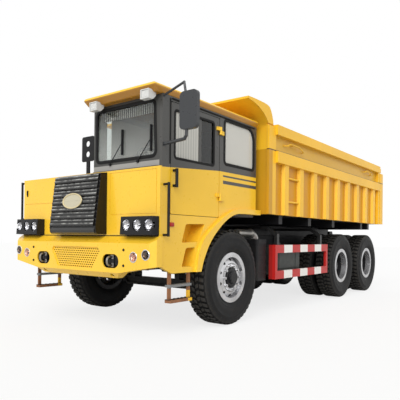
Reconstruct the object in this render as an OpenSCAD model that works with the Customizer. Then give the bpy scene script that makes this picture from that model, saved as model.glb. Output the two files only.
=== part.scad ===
// Underground mining truck: rigid tandem dump truck with an offset cab.
// Frame: +X forward, +Y to the driver's left, +Z up, origin on the ground under the front axle. Millimetres.

/* [Wheels and axles] */
// Tyre outside diameter over the lugs
tyre_d = 1125; // [1090:5:1150]
// Tyre section width
tyre_w = 315; // [290:5:320]
// Front axle to first rear axle
wheelbase = 3515; // [3400:5:4000]
// Spacing of the two rear axles
tandem = 1350; // [1300:5:1450]
// Middle of the left outer tyres to middle of the right ones
track = 2150; // [2120:5:2170]
// Spacing of the twin tyres
dual_pitch = 360; // [350:1:370]
// Bead seat radius of the rims
rim_r = 257; // [250:1:262]

/* [Chassis] */
// Width over the two frame rails
frame_w = 800; // [760:5:840]
// Depth of a frame rail
rail_h = 280; // [240:5:300]
// Height of the top of the rails
rail_top = 1080; // [1060:5:1090]

/* [Front housing and cab] */
// Width of the front housing
body_w = 2368; // [2340:4:2380]
// Front face of the housing ahead of the front axle
nose_x = 1253; // [1240:1:1300]
// Bumper face ahead of the housing
bumper_out = 109; // [90:1:120]
// Top of the housing and of the right-hand deck
deck_z = 1740; // [1700:5:1770]
// Cab width
cab_w = 1034; // [980:2:1060]
// Cab back wall behind the front axle
cab_back = 560; // [540:5:600]
// Underside of the cab roof
roof_z = 2460; // [2420:5:2500]
// Height of the roof pressing
roof_h = 94; // [80:1:110]
// Sill height under the door
sill_z = 1264; // [1255:1:1280]

/* [Dump body] */
// Body front wall behind the front axle
bed_front = 680; // [670:5:760]
// Body end behind the second rear axle
bed_over = 340; // [320:5:400]
// Width over the flat side sheets
bed_w = 2580; // [2560:4:2600]
// Underside of the body floor
bed_z = 1350; // [1340:5:1380]
// Height of the side sheets
bed_h = 1180; // [1000:10:1200]
// Number of side ribs
rib_n = 9; // [7:1:10]
// Width of a side rib
rib_w = 150; // [130:5:160]

/* [Fits] */
// Radial clearance of a pin in its bore
pin_clear = 0.05; // [0.02:0.01:0.09]
// Clearance round a door or gate
move_gap = 6; // [5:1:9]

/* [Hidden] */
$fn = 64;
axle_z = tyre_d / 2;
tyre_r = tyre_d / 2;
// Larger tyres lift the body by the whole change in diameter; axle_b is the axle's height seen from the body
lift = tyre_d - 1125;
axle_b = axle_z - lift;
ty = track / 2;
rear1 = -wheelbase;
rear2 = -wheelbase - tandem;
twin_y = ty - dual_pitch / 2;
rail_o = frame_w / 2;
rail_i = rail_o - 80;
rail_bot = rail_top - rail_h;
hw = body_w / 2;
skin = 40;
hi = hw - skin;
nose_in = nose_x - 25;
bump_x = nose_x + bumper_out;
cab_r = hw - cab_w;
door_r = 257;
door_f = 1100;
head_z = roof_z - 48;
bed_end = rear2 - bed_over;
bar_x = rear2 - tyre_d / 2 + 40;
bed_o = bed_w / 2;
bed_i = bed_o - 20;
bed_top = bed_z + bed_h;
pivot_x = rear2 - 135;
pivot_z = rail_top + 50;
gate_x = bed_end - 10;
gate_px = gate_x - 60;
gate_pz = bed_top - 75;
hoist_b = [rear1 + 1065, 720];
hoist_e = [rear1 - 385, 1150];
king_y = ty - 195;
arm_x = -220;
// Tow pin: place and height; bumper lamps and headlamps: distance in from the housing's side, height
tow = [bump_x - 40, 590, 780];
bump_lamps = [[83, 857], [253, 830]];
head_lamps = [376, 219, 61];
lamp_z = 1154;
// Fittings between the front wheels and the tandem, each placed from the one before it
bat_f = -tyre_r - 109.5;
bat_r = bat_f - 253;
bat_y = [hw - 424, hw - 34];
guard_f = bat_r - 60;
guard_r = rear1 + tyre_r + 182.5;
guard_y = [hw + 23, hw + 63];
guard_z = [478, 945];
guard_bar = 110;
tank_f = guard_f - 255;
tank_r = tank_f - 0.4146 * (guard_f - guard_r);
tank_y = [hw - 544, hw - 64];
tank_z = [520, 930];
// Leaf springs: leaves in a front pack, pitch of their ends, leaf thickness, eyes below the rail, rise to the eyes
leaf_n = 5;
leaf_p = 107;
leaf_t = 18;
eye_drop = 39;
leaf_rise = rail_bot - eye_drop - (axle_b - 2.5) - leaf_t * (leaf_n - 0.5);
// Paints
yellow = [0.95, 0.8, 0.1];
black = [0.1, 0.1, 0.11];
grey = [0.3, 0.31, 0.32];
iron = [0.3, 0.3, 0.32];
glass = [0.6, 0.7, 0.75, 0.5];
spin_r = 45;
hub_r = 60;

// Helpers
module bx(x, y, z) { translate([x[0], y[0], z[0]]) cube([x[1] - x[0], y[1] - y[0], z[1] - z[0]]); }
module side(pts, y0, y1) { translate([0, y1, 0]) rotate([90, 0, 0]) linear_extrude(y1 - y0) polygon(pts); }
module face(pts, x0, x1) { translate([x0, 0, 0]) rotate([90, 0, 90]) linear_extrude(x1 - x0) polygon(pts); }
module plan(pts, z0, z1) { translate([0, 0, z0]) linear_extrude(z1 - z0) polygon(pts); }
module body(c) { color(c) translate([0, 0, lift]) children(); }
module both() { children(); mirror([0, 1, 0]) children(); }
module along_y(x, y, z) { translate([x, y, z]) rotate([-90, 0, 0]) children(); }
module along_x(x, y, z) { translate([x, y, z]) rotate([0, 90, 0]) children(); }
module rod(a, b, d) {
  v = b - a;
  translate(a) rotate([0, acos(v[2] / norm(v)), atan2(v[1], v[0])]) cylinder(d = d, h = norm(v));
}
module tube(pts, d) {
  for (i = [0 : len(pts) - 2]) rod(pts[i], pts[i + 1], d);
  for (i = [1 : len(pts) - 2]) translate(pts[i]) sphere(d = d + 1.5);
}
module slot(w, h) {
  square([w - h, h], center = true);
  for (s = [-1, 1]) translate([s * (w - h) / 2, 0]) circle(d = h);
}
function cr(p0, p1, p2, p3, t) = 0.5 * (2 * p1 + (p2 - p0) * t + (2 * p0 - 5 * p1 + 4 * p2 - p3) * t * t
  + (3 * p1 - p0 - 3 * p2 + p3) * t * t * t);
function smooth(p, n) = concat([for (i = [0 : len(p) - 2]) for (k = [0 : n - 1])
  cr(p[max(i - 1, 0)], p[i], p[i + 1], p[min(i + 2, len(p) - 1)], k / n)], [p[len(p) - 1]]);
function back(p) = [for (i = [len(p) - 1 : -1 : 0]) p[i]];
// Points of a box with rounded corners: two ranges, corner radius, steps a corner
function rounded(a, b, r, n) = [for (c = [[a[1] - r, b[1] - r, 0], [a[0] + r, b[1] - r, 90],
  [a[0] + r, b[0] + r, 180], [a[1] - r, b[0] + r, 270]]) for (k = [0 : n])
  [c[0] + r * cos(c[2] + 90 * k / n), c[1] + r * sin(c[2] + 90 * k / n)]];
// Points round the front axle seen from the side: angle up from ahead, gap outside the tyre
function round_tyre(t) = [for (p = t) [(tyre_r + p[1]) * cos(p[0]), axle_b + (tyre_r + p[1]) * sin(p[0])]];
// A polygon with its corners rounded off: points, distance cut from each side, steps a corner
function soft(p, r, n) = [for (i = [0 : len(p) - 1]) let (a = p[(i + len(p) - 1) % len(p)], b = p[i], c = p[(i + 1) % len(p)],
  u = b + r * (a - b) / norm(a - b), v = b + r * (c - b) / norm(c - b)) for (k = [0 : n]) let (t = k / n)
  (1 - t) * (1 - t) * u + 2 * t * (1 - t) * b + t * t * v];
function oval(a, b, n) = [for (i = [0 : n - 1]) [a * cos(360 * i / n), b * sin(360 * i / n)]];

// Chassis frame: two channel rails, cross members, hoist and body pivot shafts, front beam, rear lamp bar
module rail() {
  face([[rail_o, rail_bot], [rail_o, rail_top], [rail_i, rail_top], [rail_i, rail_top - 14],
    [rail_o - 14, rail_top - 14], [rail_o - 14, rail_bot + 14], [rail_i, rail_bot + 14], [rail_i, rail_bot]],
    bed_end + 15, nose_x - 103);
  bx([nose_x - 173, bump_x - 22], [rail_i, rail_o], [rail_bot, 930]);
  bx([nose_x + 17, bump_x - 14], [650, 710], [740, rail_bot + 40]);
  bx([bar_x, bed_end + 30], [rail_i, rail_o], [840, 940]);
  side([[hoist_b[0] - 90, 640], [hoist_b[0] + 90, 640], [hoist_b[0] + 130, rail_bot + 60],
    [hoist_b[0] - 130, rail_bot + 60]], rail_i, rail_i + 40);
  along_y(hoist_b[0], 110, hoist_b[1]) cylinder(r = 35, h = rail_i - 100);
  side([[pivot_x - 110, rail_top - 10], [pivot_x + 110, rail_top - 10], [pivot_x + 65, pivot_z + 68],
    [pivot_x - 65, pivot_z + 68]], rail_i, rail_o);
  bx([(rear1 + rear2) / 2 - 100, (rear1 + rear2) / 2 + 100], [rail_i, rail_o], [axle_b - 30, rail_bot + 5]);
}
module chassis_frame() {
  body(black) union() {
    both() rail();
    for (x = [nose_x - 163, -cab_back - 790, rear1 + 1365, (rear1 + rear2) / 2 - 55, bed_end + 75])
      bx([x - 45, x + 45], [13 - rail_o, rail_o - 13], [rail_bot + 70, rail_top - 60]);
    bx([nose_x - 73, nose_x + 27], [-760, 760], [700, rail_bot + 60]);
    bx([bar_x - 50, bar_x + 1], [-1000, 1000], [840, 940]);
    along_y(pivot_x, -rail_i - 5, pivot_z) cylinder(r = 40, h = 2 * rail_i + 10);
  }
}
module tow_lugs() {
  body([0.75, 0.62, 0.1]) both() translate([0, tow[1], tow[2] - 20]) difference() {
    union() {
      translate([nose_x + 27, -40, 0]) cube([tow[0] - nose_x - 27, 80, 40]);
      translate([tow[0], 0, 0]) cylinder(r = 40, h = 40);
    }
    translate([tow[0], 0, -10]) cylinder(r = 22, h = 60);
  }
}
// Straight-six engine with its sump, intake pipe, fan, radiator and gearbox
cyl_x = [for (i = [0 : 5]) 800 - 208 * i];
module engine_block() {
  body(iron) union() {
    side([[-440, 800], [-440, sill_z], [950, sill_z], [950, 900], [760, 800], [560, 705], [-120, 705], [-220, 800]],
      -rail_i + 30, rail_i - 30);
    bx([-400, 920], [cab_r - 480, cab_r - 60], [sill_z - 1, 1440]);
    for (x = cyl_x) along_y(x, cab_r - 450, 1440) cylinder(r = 84, h = 360);
    along_x(-380, cab_r - 600, 1370) cylinder(r = 62, h = 1240);
    for (x = cyl_x) along_y(x, cab_r - 600, 1370) cylinder(r = 38, h = 130);
    for (x = [-300, 700]) bx([x, x + 120], [-rail_o + 5, rail_o - 5], [rail_top, rail_top + 60]);
    along_x(-640, 0, 900) cylinder(r1 = 170, r2 = 270, h = 201);
    along_x(-1200, 0, 900) cylinder(r = 172, h = 561);
    for (x = [-1160, -980, -800]) along_x(x, 0, 900) cylinder(r = 186, h = 30);
    along_x(910, cab_r - 280, 1350) cylinder(r = 60, h = 146);
    along_x(1055, cab_r - 280, 1350) cylinder(r = 250, h = 46);
    bx([1100, 1180], [cab_r - 550, cab_r - 15], [rail_top, 1660]);
  }
}

// Front end
module bumper_body(t) {
  intersection() {
    side([[nose_in - 3 * t, 1047 - t], [nose_x - 0.3 * t, 1047 - t], [bump_x - t, 970 - 0.5 * t],
      [bump_x - t, 660 + 0.4 * t], [bump_x - 62 - 0.4 * t, 600 + t], [nose_in - 3 * t, 600 + t]], -1300, 1300);
    face([[-hw - 16 + t, 740 + t], [-720, 660 + t], [-640, 600 + t], [640, 600 + t], [720, 660 + t],
      [hw + 16 - t, 740 + t], [hw + 16 - t, 1060], [-hw - 16 + t, 1060]], 900, 1500);
    plan([[900, -hw - 16 + t], [bump_x - 52 - 0.5 * t, -hw - 16 + t], [bump_x - t, -hw + 40],
      [bump_x - t, hw - 40], [bump_x - 52 - 0.5 * t, hw + 16 - t], [900, hw + 16 - t]], 500, 1100);
  }
}
bump_grille = [[-390, 920], [390, 920], [420, 880], [310, 698], [-310, 698], [-420, 880]];
module front_bumper() {
  body(yellow) difference() {
    bumper_body(0);
    bumper_body(14);
    face(bump_grille, bump_x - 40, bump_x + 20);
    both() {
      translate([bump_x - 40, tow[1], tow[2]]) rotate([90, 0, 90]) linear_extrude(80) slot(250, 145);
      translate([tow[0], tow[1], 580]) cylinder(r = 26, h = 90);
      for (l = bump_lamps) along_x(bump_x - 40, hw - l[0], l[1]) cylinder(r = 45, h = 80);
    }
  }
}
module bumper_grille() {
  body(yellow) translate([bump_x - 22, 0, 0]) rotate([90, 0, 90]) linear_extrude(8) difference() {
    polygon([[-410, 940], [410, 940], [440, 880], [325, 682], [-325, 682], [-440, 880]]);
    for (j = [0 : 9]) for (i = [-12 : 12]) {
      y = 34 * i + (j % 2) * 17;
      z = 704 + 24.5 * j;
      lim = z < 880 ? 310 + (z - 698) * 110 / 182 - 16 : 396;
      if (abs(y) < lim) translate([y, z]) square([24, 11], center = true);
    }
  }
}
module nose_panel() {
  body(yellow) difference() {
    bx([nose_in, nose_x], [-hw, hw], [1047, deck_z]);
    bx([nose_in - 5, nose_x + 5], [-370, 370], [1090, 1690]);
    for (g = [[450, hw - 47, 1267, deck_z - 24]]) {
      bx([nose_x - 5, nose_x + 5], [g[0], g[1]], [g[2], g[2] + 6]);
      bx([nose_x - 5, nose_x + 5], [g[0], g[1]], [g[3] - 6, g[3]]);
      bx([nose_x - 5, nose_x + 5], [g[0], g[0] + 6], [g[2], g[3]]);
      bx([nose_x - 5, nose_x + 5], [g[1] - 6, g[1]], [g[2], g[3]]);
    }
    bx([nose_x - 5, nose_x + 5], [-hw + 39, -450], [1430, 1436]);
  }
}
// Ribbed radiator cowl: a hollow wedge with ridges across its front
function grille_x(z) = nose_x + 177 - (z - 1130) * 73 / 588;
grille_y = 383;
ridge_n = 7;
ridge_z = [1140, 1712];
ridge_p = (ridge_z[1] - ridge_z[0]) / ridge_n;
// One ridge. Columns: how far it stands behind the slope, height as a share of the pitch
ridge = [[30, 0], [30, 0.07], [5, 0.13], [0, 0.22], [1, 0.48], [10, 0.54], [10, 0.6], [4, 0.66], [4, 0.9], [16, 0.97]];
module radiator_grille() {
  front = [for (k = [0 : ridge_n - 1]) for (r = ridge) let (z = ridge_z[0] + (k + r[1]) * ridge_p) [grille_x(z) - r[0], z]];
  chin = [[nose_x, 1060], [nose_x + 128, 1060], [nose_x + 152, 1075], [nose_x + 160, 1100], [nose_x + 152, 1128]];
  cheek = [[nose_x, 1060], [nose_x + 128, 1060], [nose_x + 150, 1080], [grille_x(1135) - 20, 1135], [grille_x(1712) - 20, 1712],
    [nose_x, 1731]];
  body(black) union() {
    difference() {
      side(concat(chin, front, [[nose_x + 66, 1722], [nose_x, 1731]]), -grille_y, grille_y);
      side([[nose_x - 1, 1085], [nose_x + 105, 1085], [nose_x + 122, 1130], [grille_x(1690) - 52, 1690], [nose_x - 1, 1700]],
        -grille_y + 20, grille_y - 20);
    }
    both() side(cheek, grille_y - 1, grille_y + 22);
    translate([grille_x(1420) - 30, 0, 1420]) rotate([0, -7, 0]) rotate([90, 0, 90]) linear_extrude(38)
      polygon(oval(170, 88, 48));
  }
}
lamp_y = [for (d = head_lamps) hw - d];
visor_lamps = [[cab_r + 96, cab_r + 210], [hw - 168, hw - 54]];
module lamp_housings() {
  body(black) {
    both() difference() {
      side([[nose_x, 1050], [nose_x + 112, 1054], [nose_x + 98, 1240], [nose_x, 1240]], hw - 451, hw - 8);
      for (y = lamp_y) along_x(nose_x + 60, y, lamp_z) cylinder(r = 60, h = 100);
    }
    for (y = visor_lamps) difference() {
      side([[nose_x + 18, roof_z], [nose_x + 52, roof_z], [nose_x + 52 + 1.148 * 22, roof_z + 22], [nose_x + 124, roof_z + 22],
        [nose_x + 124, roof_z - 72], [nose_x + 60, roof_z - 72], [nose_x + 18, roof_z - 30]], y[0], y[1]);
      bx([nose_x + 112, nose_x + 130], [y[0] + 9, y[1] - 9], [roof_z - 63, roof_z + 13]);
    }
    both() bx([bar_x - 70, bar_x - 50], [700, 960], [850, 930]);
  }
}
module lamp_lenses() {
  body([0.85, 0.88, 0.9]) {
    both() {
      for (y = lamp_y) along_x(nose_x + 60, y, lamp_z) cylinder(r = 59.7, h = 26);
      for (l = bump_lamps) along_x(bump_x - 14, hw - l[0], l[1]) cylinder(r = 44.7, h = 20);
      bx([bar_x - 82, bar_x - 70], [712, 948], [858, 922]);
    }
    for (y = visor_lamps) bx([nose_x + 112, nose_x + 120], [y[0] + 9, y[1] - 9], [roof_z - 63, roof_z + 13]);
  }
}
// Wheel arch and the outer edge of its flare. Columns: angle up from ahead, gap outside the tyre
arch = smooth(round_tyre([[9.31, 70.8], [23.14, 59.6], [43.99, 63], [65.65, 92.3], [81.46, 144.8], [94.53, 197.4],
  [108, 246.6]]), 3);
flare = smooth(round_tyre([[8.27, 149.9], [27.12, 173.4], [43.3, 165.9], [65.05, 160.5], [80.95, 200.5], [92.48, 245.8],
  [106.8, 301.9]]), 3);
arch_z = arch[len(arch) - 1][1];
quad_a = [[849, 1175], [520, 1184], [640, 986], [919, 978]];
quad_b = [[845, 923], [690, 930], [722, 723], [915, 726]];
function grow(p, d) = let (c = (p[0] + p[1] + p[2] + p[3]) / 4) [for (q = p) q + d * [sign(q[0] - c[0]), sign(q[1] - c[1])]];
module fender() {
  difference() {
    union() {
      side(concat([[nose_in, sill_z], [nose_in, 735], [1064, 665]], arch,
        [[-cab_back - 60, arch_z], [-cab_back - 60, 1395], [door_r - 5, 1395], [door_r - 5, sill_z]]), hi, hw);
      side(concat(arch, [[-cab_back - 60, arch_z], [-cab_back - 60, 1395]], back(flare)), hw - 1, hw + 40);
      side(grow(quad_a, 8), hi - 150, hi + 1);
      side(grow(quad_b, 8), hi - 150, hi + 1);
    }
    side(soft(quad_a, 22, 3), hi - 142, hw + 10);
    side(soft(quad_b, 22, 3), hi - 142, hw + 10);
  }
}
module front_fenders() { body(yellow) both() fender(); }
hood_r = -cab_back - 60;
module engine_hood() {
  body(yellow) union() {
    bx([hood_r, nose_in], [-hw, cab_r], [deck_z - 20, deck_z]);
    side([[nose_in, sill_z], [nose_in, deck_z - 19], [hood_r, deck_z - 19], [hood_r, 1395], [door_r - 5, 1395],
      [door_r - 5, sill_z]], -hw, -hw + 25);
    bx([hood_r, hood_r + 25], [-hw + 1, cab_r], [1395, deck_z - 19]);
    bx([hood_r, hood_r + 25], [-hi, cab_r], [1240, 1396]);
    for (x = [990, hood_r + 60]) bx([x, x + 60], [-rail_o + 10, -rail_i - 10], [rail_top, deck_z - 19]);
  }
}

// Cab
win_front = soft([[cab_r + 38, 1840], [hw - 76, 1840], [hw - 100, 2424], [cab_r + 38, 2424]], 70, 4);
win_quarter = soft([[-510, 1890], [166, 1890], [166, 2426], [-425, 2426], [-510, 2318]], 58, 4);
win_right = soft([[-420, 1880], [1080, 1860], [1080, 2400], [-420, 2400]], 60, 4);
win_back = soft([[cab_r + 180, 1880], [hw - 220, 1880], [hw - 220, 2380], [cab_r + 180, 2380]], 60, 4);
module cab_frame() {
  body(grey) difference() {
    union() {
      bx([-cab_back, nose_in - 38], [cab_r, hi], [1300, 1340]);
      bx([-cab_back, -cab_back + 40], [cab_r, hi], [1339, roof_z]);
      bx([-cab_back, nose_in - 38], [cab_r, cab_r + 40], [1339, roof_z]);
      for (x = [1000, -520]) bx([x, x + 60], [rail_i + 10, rail_o - 10], [rail_top, 1301]);
    }
    face(win_back, -cab_back - 10, -cab_back + 60);
    side(win_right, cab_r - 10, cab_r + 60);
  }
}
module hinge_z() { for (z = [1503, 2265]) translate([door_r, hw + 18, z]) children(); }
module cab_left_side() {
  body(grey) union() {
    difference() {
      side([[-cab_back, 1395], [door_r - 5, 1395], [door_r - 5, head_z], [door_f + 5, head_z], [door_f + 5, sill_z],
        [nose_in, sill_z], [nose_in, roof_z], [-cab_back, roof_z]], hi, hw);
      side(win_quarter, hi - 10, hw + 10);
    }
    hinge_z() {
      translate([-70, -18, -45]) cube([50, 18, 45]);
      translate([-40, -8, -45]) cube([40, 16, 44]);
      translate([0, 0, -45]) cylinder(r = 15, h = 44);
      translate([0, 0, -2]) cylinder(r = 8, h = 46);
    }
  }
}
module cab_front() {
  body(grey) difference() {
    bx([nose_in - 38, nose_in], [cab_r, hi], [1300, roof_z]);
    face(win_front, nose_in - 60, nose_in + 20);
  }
}
module cab_roof() {
  body(yellow) intersection() {
    side(soft([[-cab_back - 10, roof_z], [nose_x + 52, roof_z], [nose_x + 114, roof_z + 54], [nose_x + 112, roof_z + 76],
      [nose_x + 78, roof_z + roof_h], [-cab_back + 30, roof_z + roof_h], [-cab_back - 10, roof_z + 60]], 9, 2), cab_r - 150, hw + 300);
    face(soft([[cab_r, roof_z], [hw - 4, roof_z], [hw + 22, roof_z + 45], [hw + 20, roof_z + 70], [hw - 24, roof_z + roof_h],
      [cab_r + 34, roof_z + roof_h], [cab_r - 12, roof_z + 60]], 10, 2), -cab_back - 200, nose_x + 300);
  }
}
module cab_glass() {
  body(glass) {
    face(win_front, nose_in - 18, nose_in - 12);
    face(win_back, -cab_back + 17, -cab_back + 23);
    side(win_right, cab_r + 17, cab_r + 23);
    side(win_quarter, hw - 18, hw - 12);
  }
}
module left_mirror() {
  body(black) union() {
    along_y(1215, hw, roof_z - 20) cylinder(r = 14, h = 8);
    tube([[1215, hw + 6, roof_z - 20], [1245, hw + 286, roof_z + 50], [1250, hw + 316, roof_z - 90]], 24);
    along_y(1205, hw, 1960) cylinder(r = 20, h = 8);
    tube([[1205, hw + 6, 1960], [1245, hw + 296, 1968], [1250, hw + 322, 1996], [1252, hw + 330, 2100]], 32);
    face(rounded([hw + 256, hw + 466], [2050, roof_z - 50], 45, 4), 1232, 1276);
  }
}
// Grab rails. Columns: distance ahead of the front axle, side, lower and upper foot
grabs = [[1200, 1, 1056, 1560], [nose_x - 13, -1, 1246, deck_z - 35]];
grab_out = 66;
module grab_rails() {
  body(black) for (g = grabs) union() {
    translate([g[0], g[1] * (hw + grab_out), g[2] - 16]) cylinder(r = 14, h = g[3] - g[2] + 32);
    for (z = [g[2], g[3]]) along_y(g[0], min(g[1] * hw, g[1] * (hw + grab_out)), z) cylinder(r = 12, h = grab_out);
  }
}
module wipers() {
  body(black) for (y = [cab_r + 280, cab_r + 700]) union() {
    along_x(nose_in, y, 1812) cylinder(r = 14, h = 20);
    tube([[nose_in + 14, y, 1812], [nose_in + 14, y + 180, 2020]], 9);
    bx([nose_in - 11, nose_in + 14], [y + 172, y + 188], [1900, 2170]);
  }
}
module dashboard() {
  wc = [800, cab_r + 510, 1850];
  body(black) union() {
    side([[nose_in - 38, 1420], [1000, 1420], [940, 1690], [980, 1830], [nose_in - 38, 1835]], cab_r + 40, hi);
    rod([1000, cab_r + 510, 1640], wc, 60);
    translate(wc) rotate([0, -46, 0]) {
      rotate_extrude() translate([210, 0]) circle(r = 15);
      cylinder(r = 45, h = 30, center = true);
      for (a = [0, 120, 240]) rotate(a) translate([0, -14, -7]) cube([208, 28, 14]);
    }
  }
}
module driver_seat() {
  sy = cab_r + 510;
  body(black) union() {
    bx([40, 440], [sy - 170, sy + 170], [1340, 1560]);
    side([[0, 1559], [520, 1559], [530, 1640], [500, 1690], [0, 1660]], sy - 250, sy + 250);
    side([[-30, 1600], [90, 1640], [-20, 2180], [-90, 2200], [-140, 2170]], sy - 235, sy + 235);
    side([[-50, 2150], [-80, 2380], [-150, 2380], [-140, 2150]], sy - 130, sy + 130);
  }
}
module door_outline() {
  side(soft([[door_r + move_gap - 1, sill_z + move_gap], [door_f - move_gap + 5, sill_z + move_gap],
    [door_f - move_gap + 5, head_z - move_gap], [door_r + move_gap - 1, head_z - move_gap]], 22, 3), hi, hw);
}
door_win = soft([[355, 1842], [1050, 1836], [1050, 2340], [355, 2350]], 40, 4);
module cab_door() {
  body(yellow) difference() {
    union() {
      door_outline();
      hinge_z() {
        translate([move_gap - 1, -18, 0]) cube([60, 18, 40]);
        translate([0, -8, 0]) cube([40, 16, 40]);
        cylinder(r = 15, h = 40);
      }
      bx([620, 664], [hw - 26, hw - 4], [1830, 2350]);
    }
    difference() {
      side(door_win, hi - 10, hw + 10);
      bx([590, 634], [hw - 26, hw - 6], [1800, 2400]);
    }
    hinge_z() translate([0, 0, -5]) cylinder(r = 8 + pin_clear, h = 60);
  }
}
module door_glass() {
  body(glass) intersection() {
    side(door_win, hw - 18, hw - 12);
    union() {
      bx([300, 590], [hi, hw], [1800, 2400]);
      bx([634, 1100], [hi, hw], [1800, 2400]);
    }
  }
}
module door_handle() {
  body(black) union() {
    translate([1058, hw + 46, 1540]) cylinder(r = 16, h = 190);
    for (z = [1558, 1712]) along_y(1058, hw, z) cylinder(r = 14, h = 46);
  }
}
module deck_guard() {
  body(black) difference() {
    union() {
      face(rounded([cab_r - 300, cab_r - 90], [1900, 2190], 22, 3), 1150, 1158);
      bx([1140, 1158], [cab_r - 220, cab_r - 170], [deck_z, 1910]);
    }
    for (z = [1985, 2105]) along_x(1100, cab_r - 195, z) cylinder(r = 33, h = 100);
  }
}

// Fittings along the frame
module access_ladders() {
  body([0.45, 0.25, 0.15]) both() union() {
    for (x = [722, 1030]) bx([x, x + 40], [hi - 22, hi], [360, 700]);
    bx([722, 1070], [hi - 50, hi + 30], [360, 392]);
    bx([722, 1070], [hi - 50, hi + 20], [520, 545]);
  }
}
// Bent arm that carries a guard: up from the guard, in over the tank, then down the rail's side
hanger = [[guard_y[1] - 7, guard_z[1] - 5], [guard_y[1] - 7, 1095], [hw - 110, 1205], [rail_o + 6, 1205],
  [rail_o + 6, rail_top + 6], [rail_o, rail_top + 2], [rail_o, rail_bot + 120], [rail_o + 46, rail_bot + 120], [rail_o + 46, 1160],
  [hw - 124, 1160], [guard_y[0] - 14, 1072], [guard_y[0] - 14, guard_z[1] - 5]];
module side_guards() {
  inner = [guard_y[0] - 7, guard_y[1] + 13];
  body([0.8, 0.1, 0.1]) both() union() {
    difference() {
      bx([guard_r, guard_f], guard_y, guard_z);
      bx([guard_r + 60, guard_f - 60], inner, [guard_z[0] + guard_bar, guard_z[1] - guard_bar]);
    }
    bx([guard_f - 40, guard_f], [guard_y[0] - 60, guard_y[0] + 1], guard_z);
    for (x = [guard_f - 85, guard_r + 260]) face(hanger, x - 30, x + 30);
  }
}
module battery_box() {
  body(black) union() {
    plan(rounded([bat_r + 6, bat_f - 6], [bat_y[0] + 6, bat_y[1] - 6], 28, 3), 470, 960);
    plan(rounded([bat_r, bat_f], bat_y, 34, 3), 955, 1020);
    for (z = [560, 660, 760]) plan(rounded([bat_r + 2, bat_f - 2], [bat_y[0] + 2, bat_y[1] - 2], 30, 3), z, z + 30);
    bx([bat_r + 30, bat_f - 30], [rail_o, bat_y[0] + 20], [840, 930]);
  }
}
module fuel_tank() {
  body([0.4, 0.45, 0.42]) both() union() {
    face(rounded(tank_y, tank_z, 90, 5), tank_r, tank_f);
    for (x = [tank_r + 80, tank_f - 140]) {
      face(rounded([tank_y[0] - 5, tank_y[1] + 5], [tank_z[0] - 5, tank_z[1] + 5], 95, 5), x, x + 60);
      bx([x + 5, x + 55], [rail_o, tank_y[0] + 10], [840, tank_z[1] - 100]);
    }
    translate([tank_f - 260, tank_y[1] - 130, tank_z[1] - 20]) cylinder(r = 50, h = 60);
  }
}
module exhaust() {
  y = hw - 284;
  body([0.7, 0.7, 0.7]) union() {
    along_x(-cab_back - 340, y, 1100) cylinder(r = 55, h = 360);
    along_x(-cab_back - 345, y, 1100) cylinder(r = 66, h = 24);
    translate([-cab_back - 335, y, 960]) rotate([90, 0, 0]) rotate([0, 0, 90]) rotate_extrude(angle = 62) translate([140, 0])
      circle(r = 50);
    bx([-cab_back - 80, -cab_back - 40], [rail_o, y + 1], [1030, 1070]);
  }
}

// Axles, springs and steering
// Forged beam of I section with a drop between the spring pads. Columns: distance from the middle, height from the axle
beam_top = [[500, -72.5], [620, 20], [king_y, 20]];
beam_low = [[540, -182.5], [640, -62], [king_y, -60]];
function beam(inset) = let (up = [for (p = beam_top) [p[0] - 0.4 * inset, axle_z + p[1] - inset]],
  low = [for (p = beam_low) [p[0] - 0.4 * inset, axle_z + p[1] + inset]])
  concat(up, back(low), [for (p = low) [-p[0], p[1]]], [for (p = back(up)) [-p[0], p[1]]]);
module front_axle() {
  color(black) difference() {
    union() {
      difference() {
        face(beam(0), -50, 50);
        for (x = [-60, 18]) intersection() {
          face(beam(22), x, x + 42);
          bx([-100, 100], [-600, 600], [0, 1000]);
        }
      }
      both() {
        translate([0, king_y, axle_z - 80]) cylinder(r = 55, h = 160);
        bx([-70, 70], [rail_i + 40, rail_o + 40], [axle_z - 73.5, axle_z - 2.5]);
      }
    }
    both() translate([0, king_y, 0]) cylinder(r = 25 + pin_clear, h = 2 * axle_z);
  }
}
// Half of a leaf pack's stepped underside: each leaf is one station longer than the leaf below it
function leaf_z(j) = leaf_rise * pow(j / (leaf_n + 1), 2);
leaf_low = [for (k = [0 : leaf_n - 1]) for (j = [(k == 0 ? 0 : k + 1) : k + 2]) [leaf_p * j, leaf_t * k + leaf_z(j)]];
leaf_top = [for (j = [leaf_n + 1 : -1 : -leaf_n - 1]) [leaf_p * j, leaf_t * leaf_n + leaf_z(j)]];
module front_springs() {
  y = [rail_i + 45, rail_o + 35];
  seat = axle_b - 2.5;
  eye = [leaf_p * (leaf_n + 1) + 8, seat + leaf_t * (leaf_n - 0.5) + leaf_rise];
  body(black) both() union() {
    translate([0, 0, seat]) side(concat(leaf_low, leaf_top,
      [for (i = [len(leaf_low) - 1 : -1 : 1]) [-leaf_low[i][0], leaf_low[i][1]]]), y[0], y[1]);
    for (e = [-1, 1]) {
      side([[e * (eye[0] - 60), rail_bot], [e * (eye[0] + 80), rail_bot], [e * (eye[0] + 34), eye[1] - 24],
        [e * (eye[0] - 16), eye[1] - 24]], y[0] + 4, y[1] - 4);
      along_y(e * eye[0], y[0] - 5, eye[1]) cylinder(r = 27, h = y[1] - y[0] + 10);
    }
    bx([-62, 62], [y[0] - 8, y[1] + 8], [seat + 70, seat + 112]);
  }
}
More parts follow.
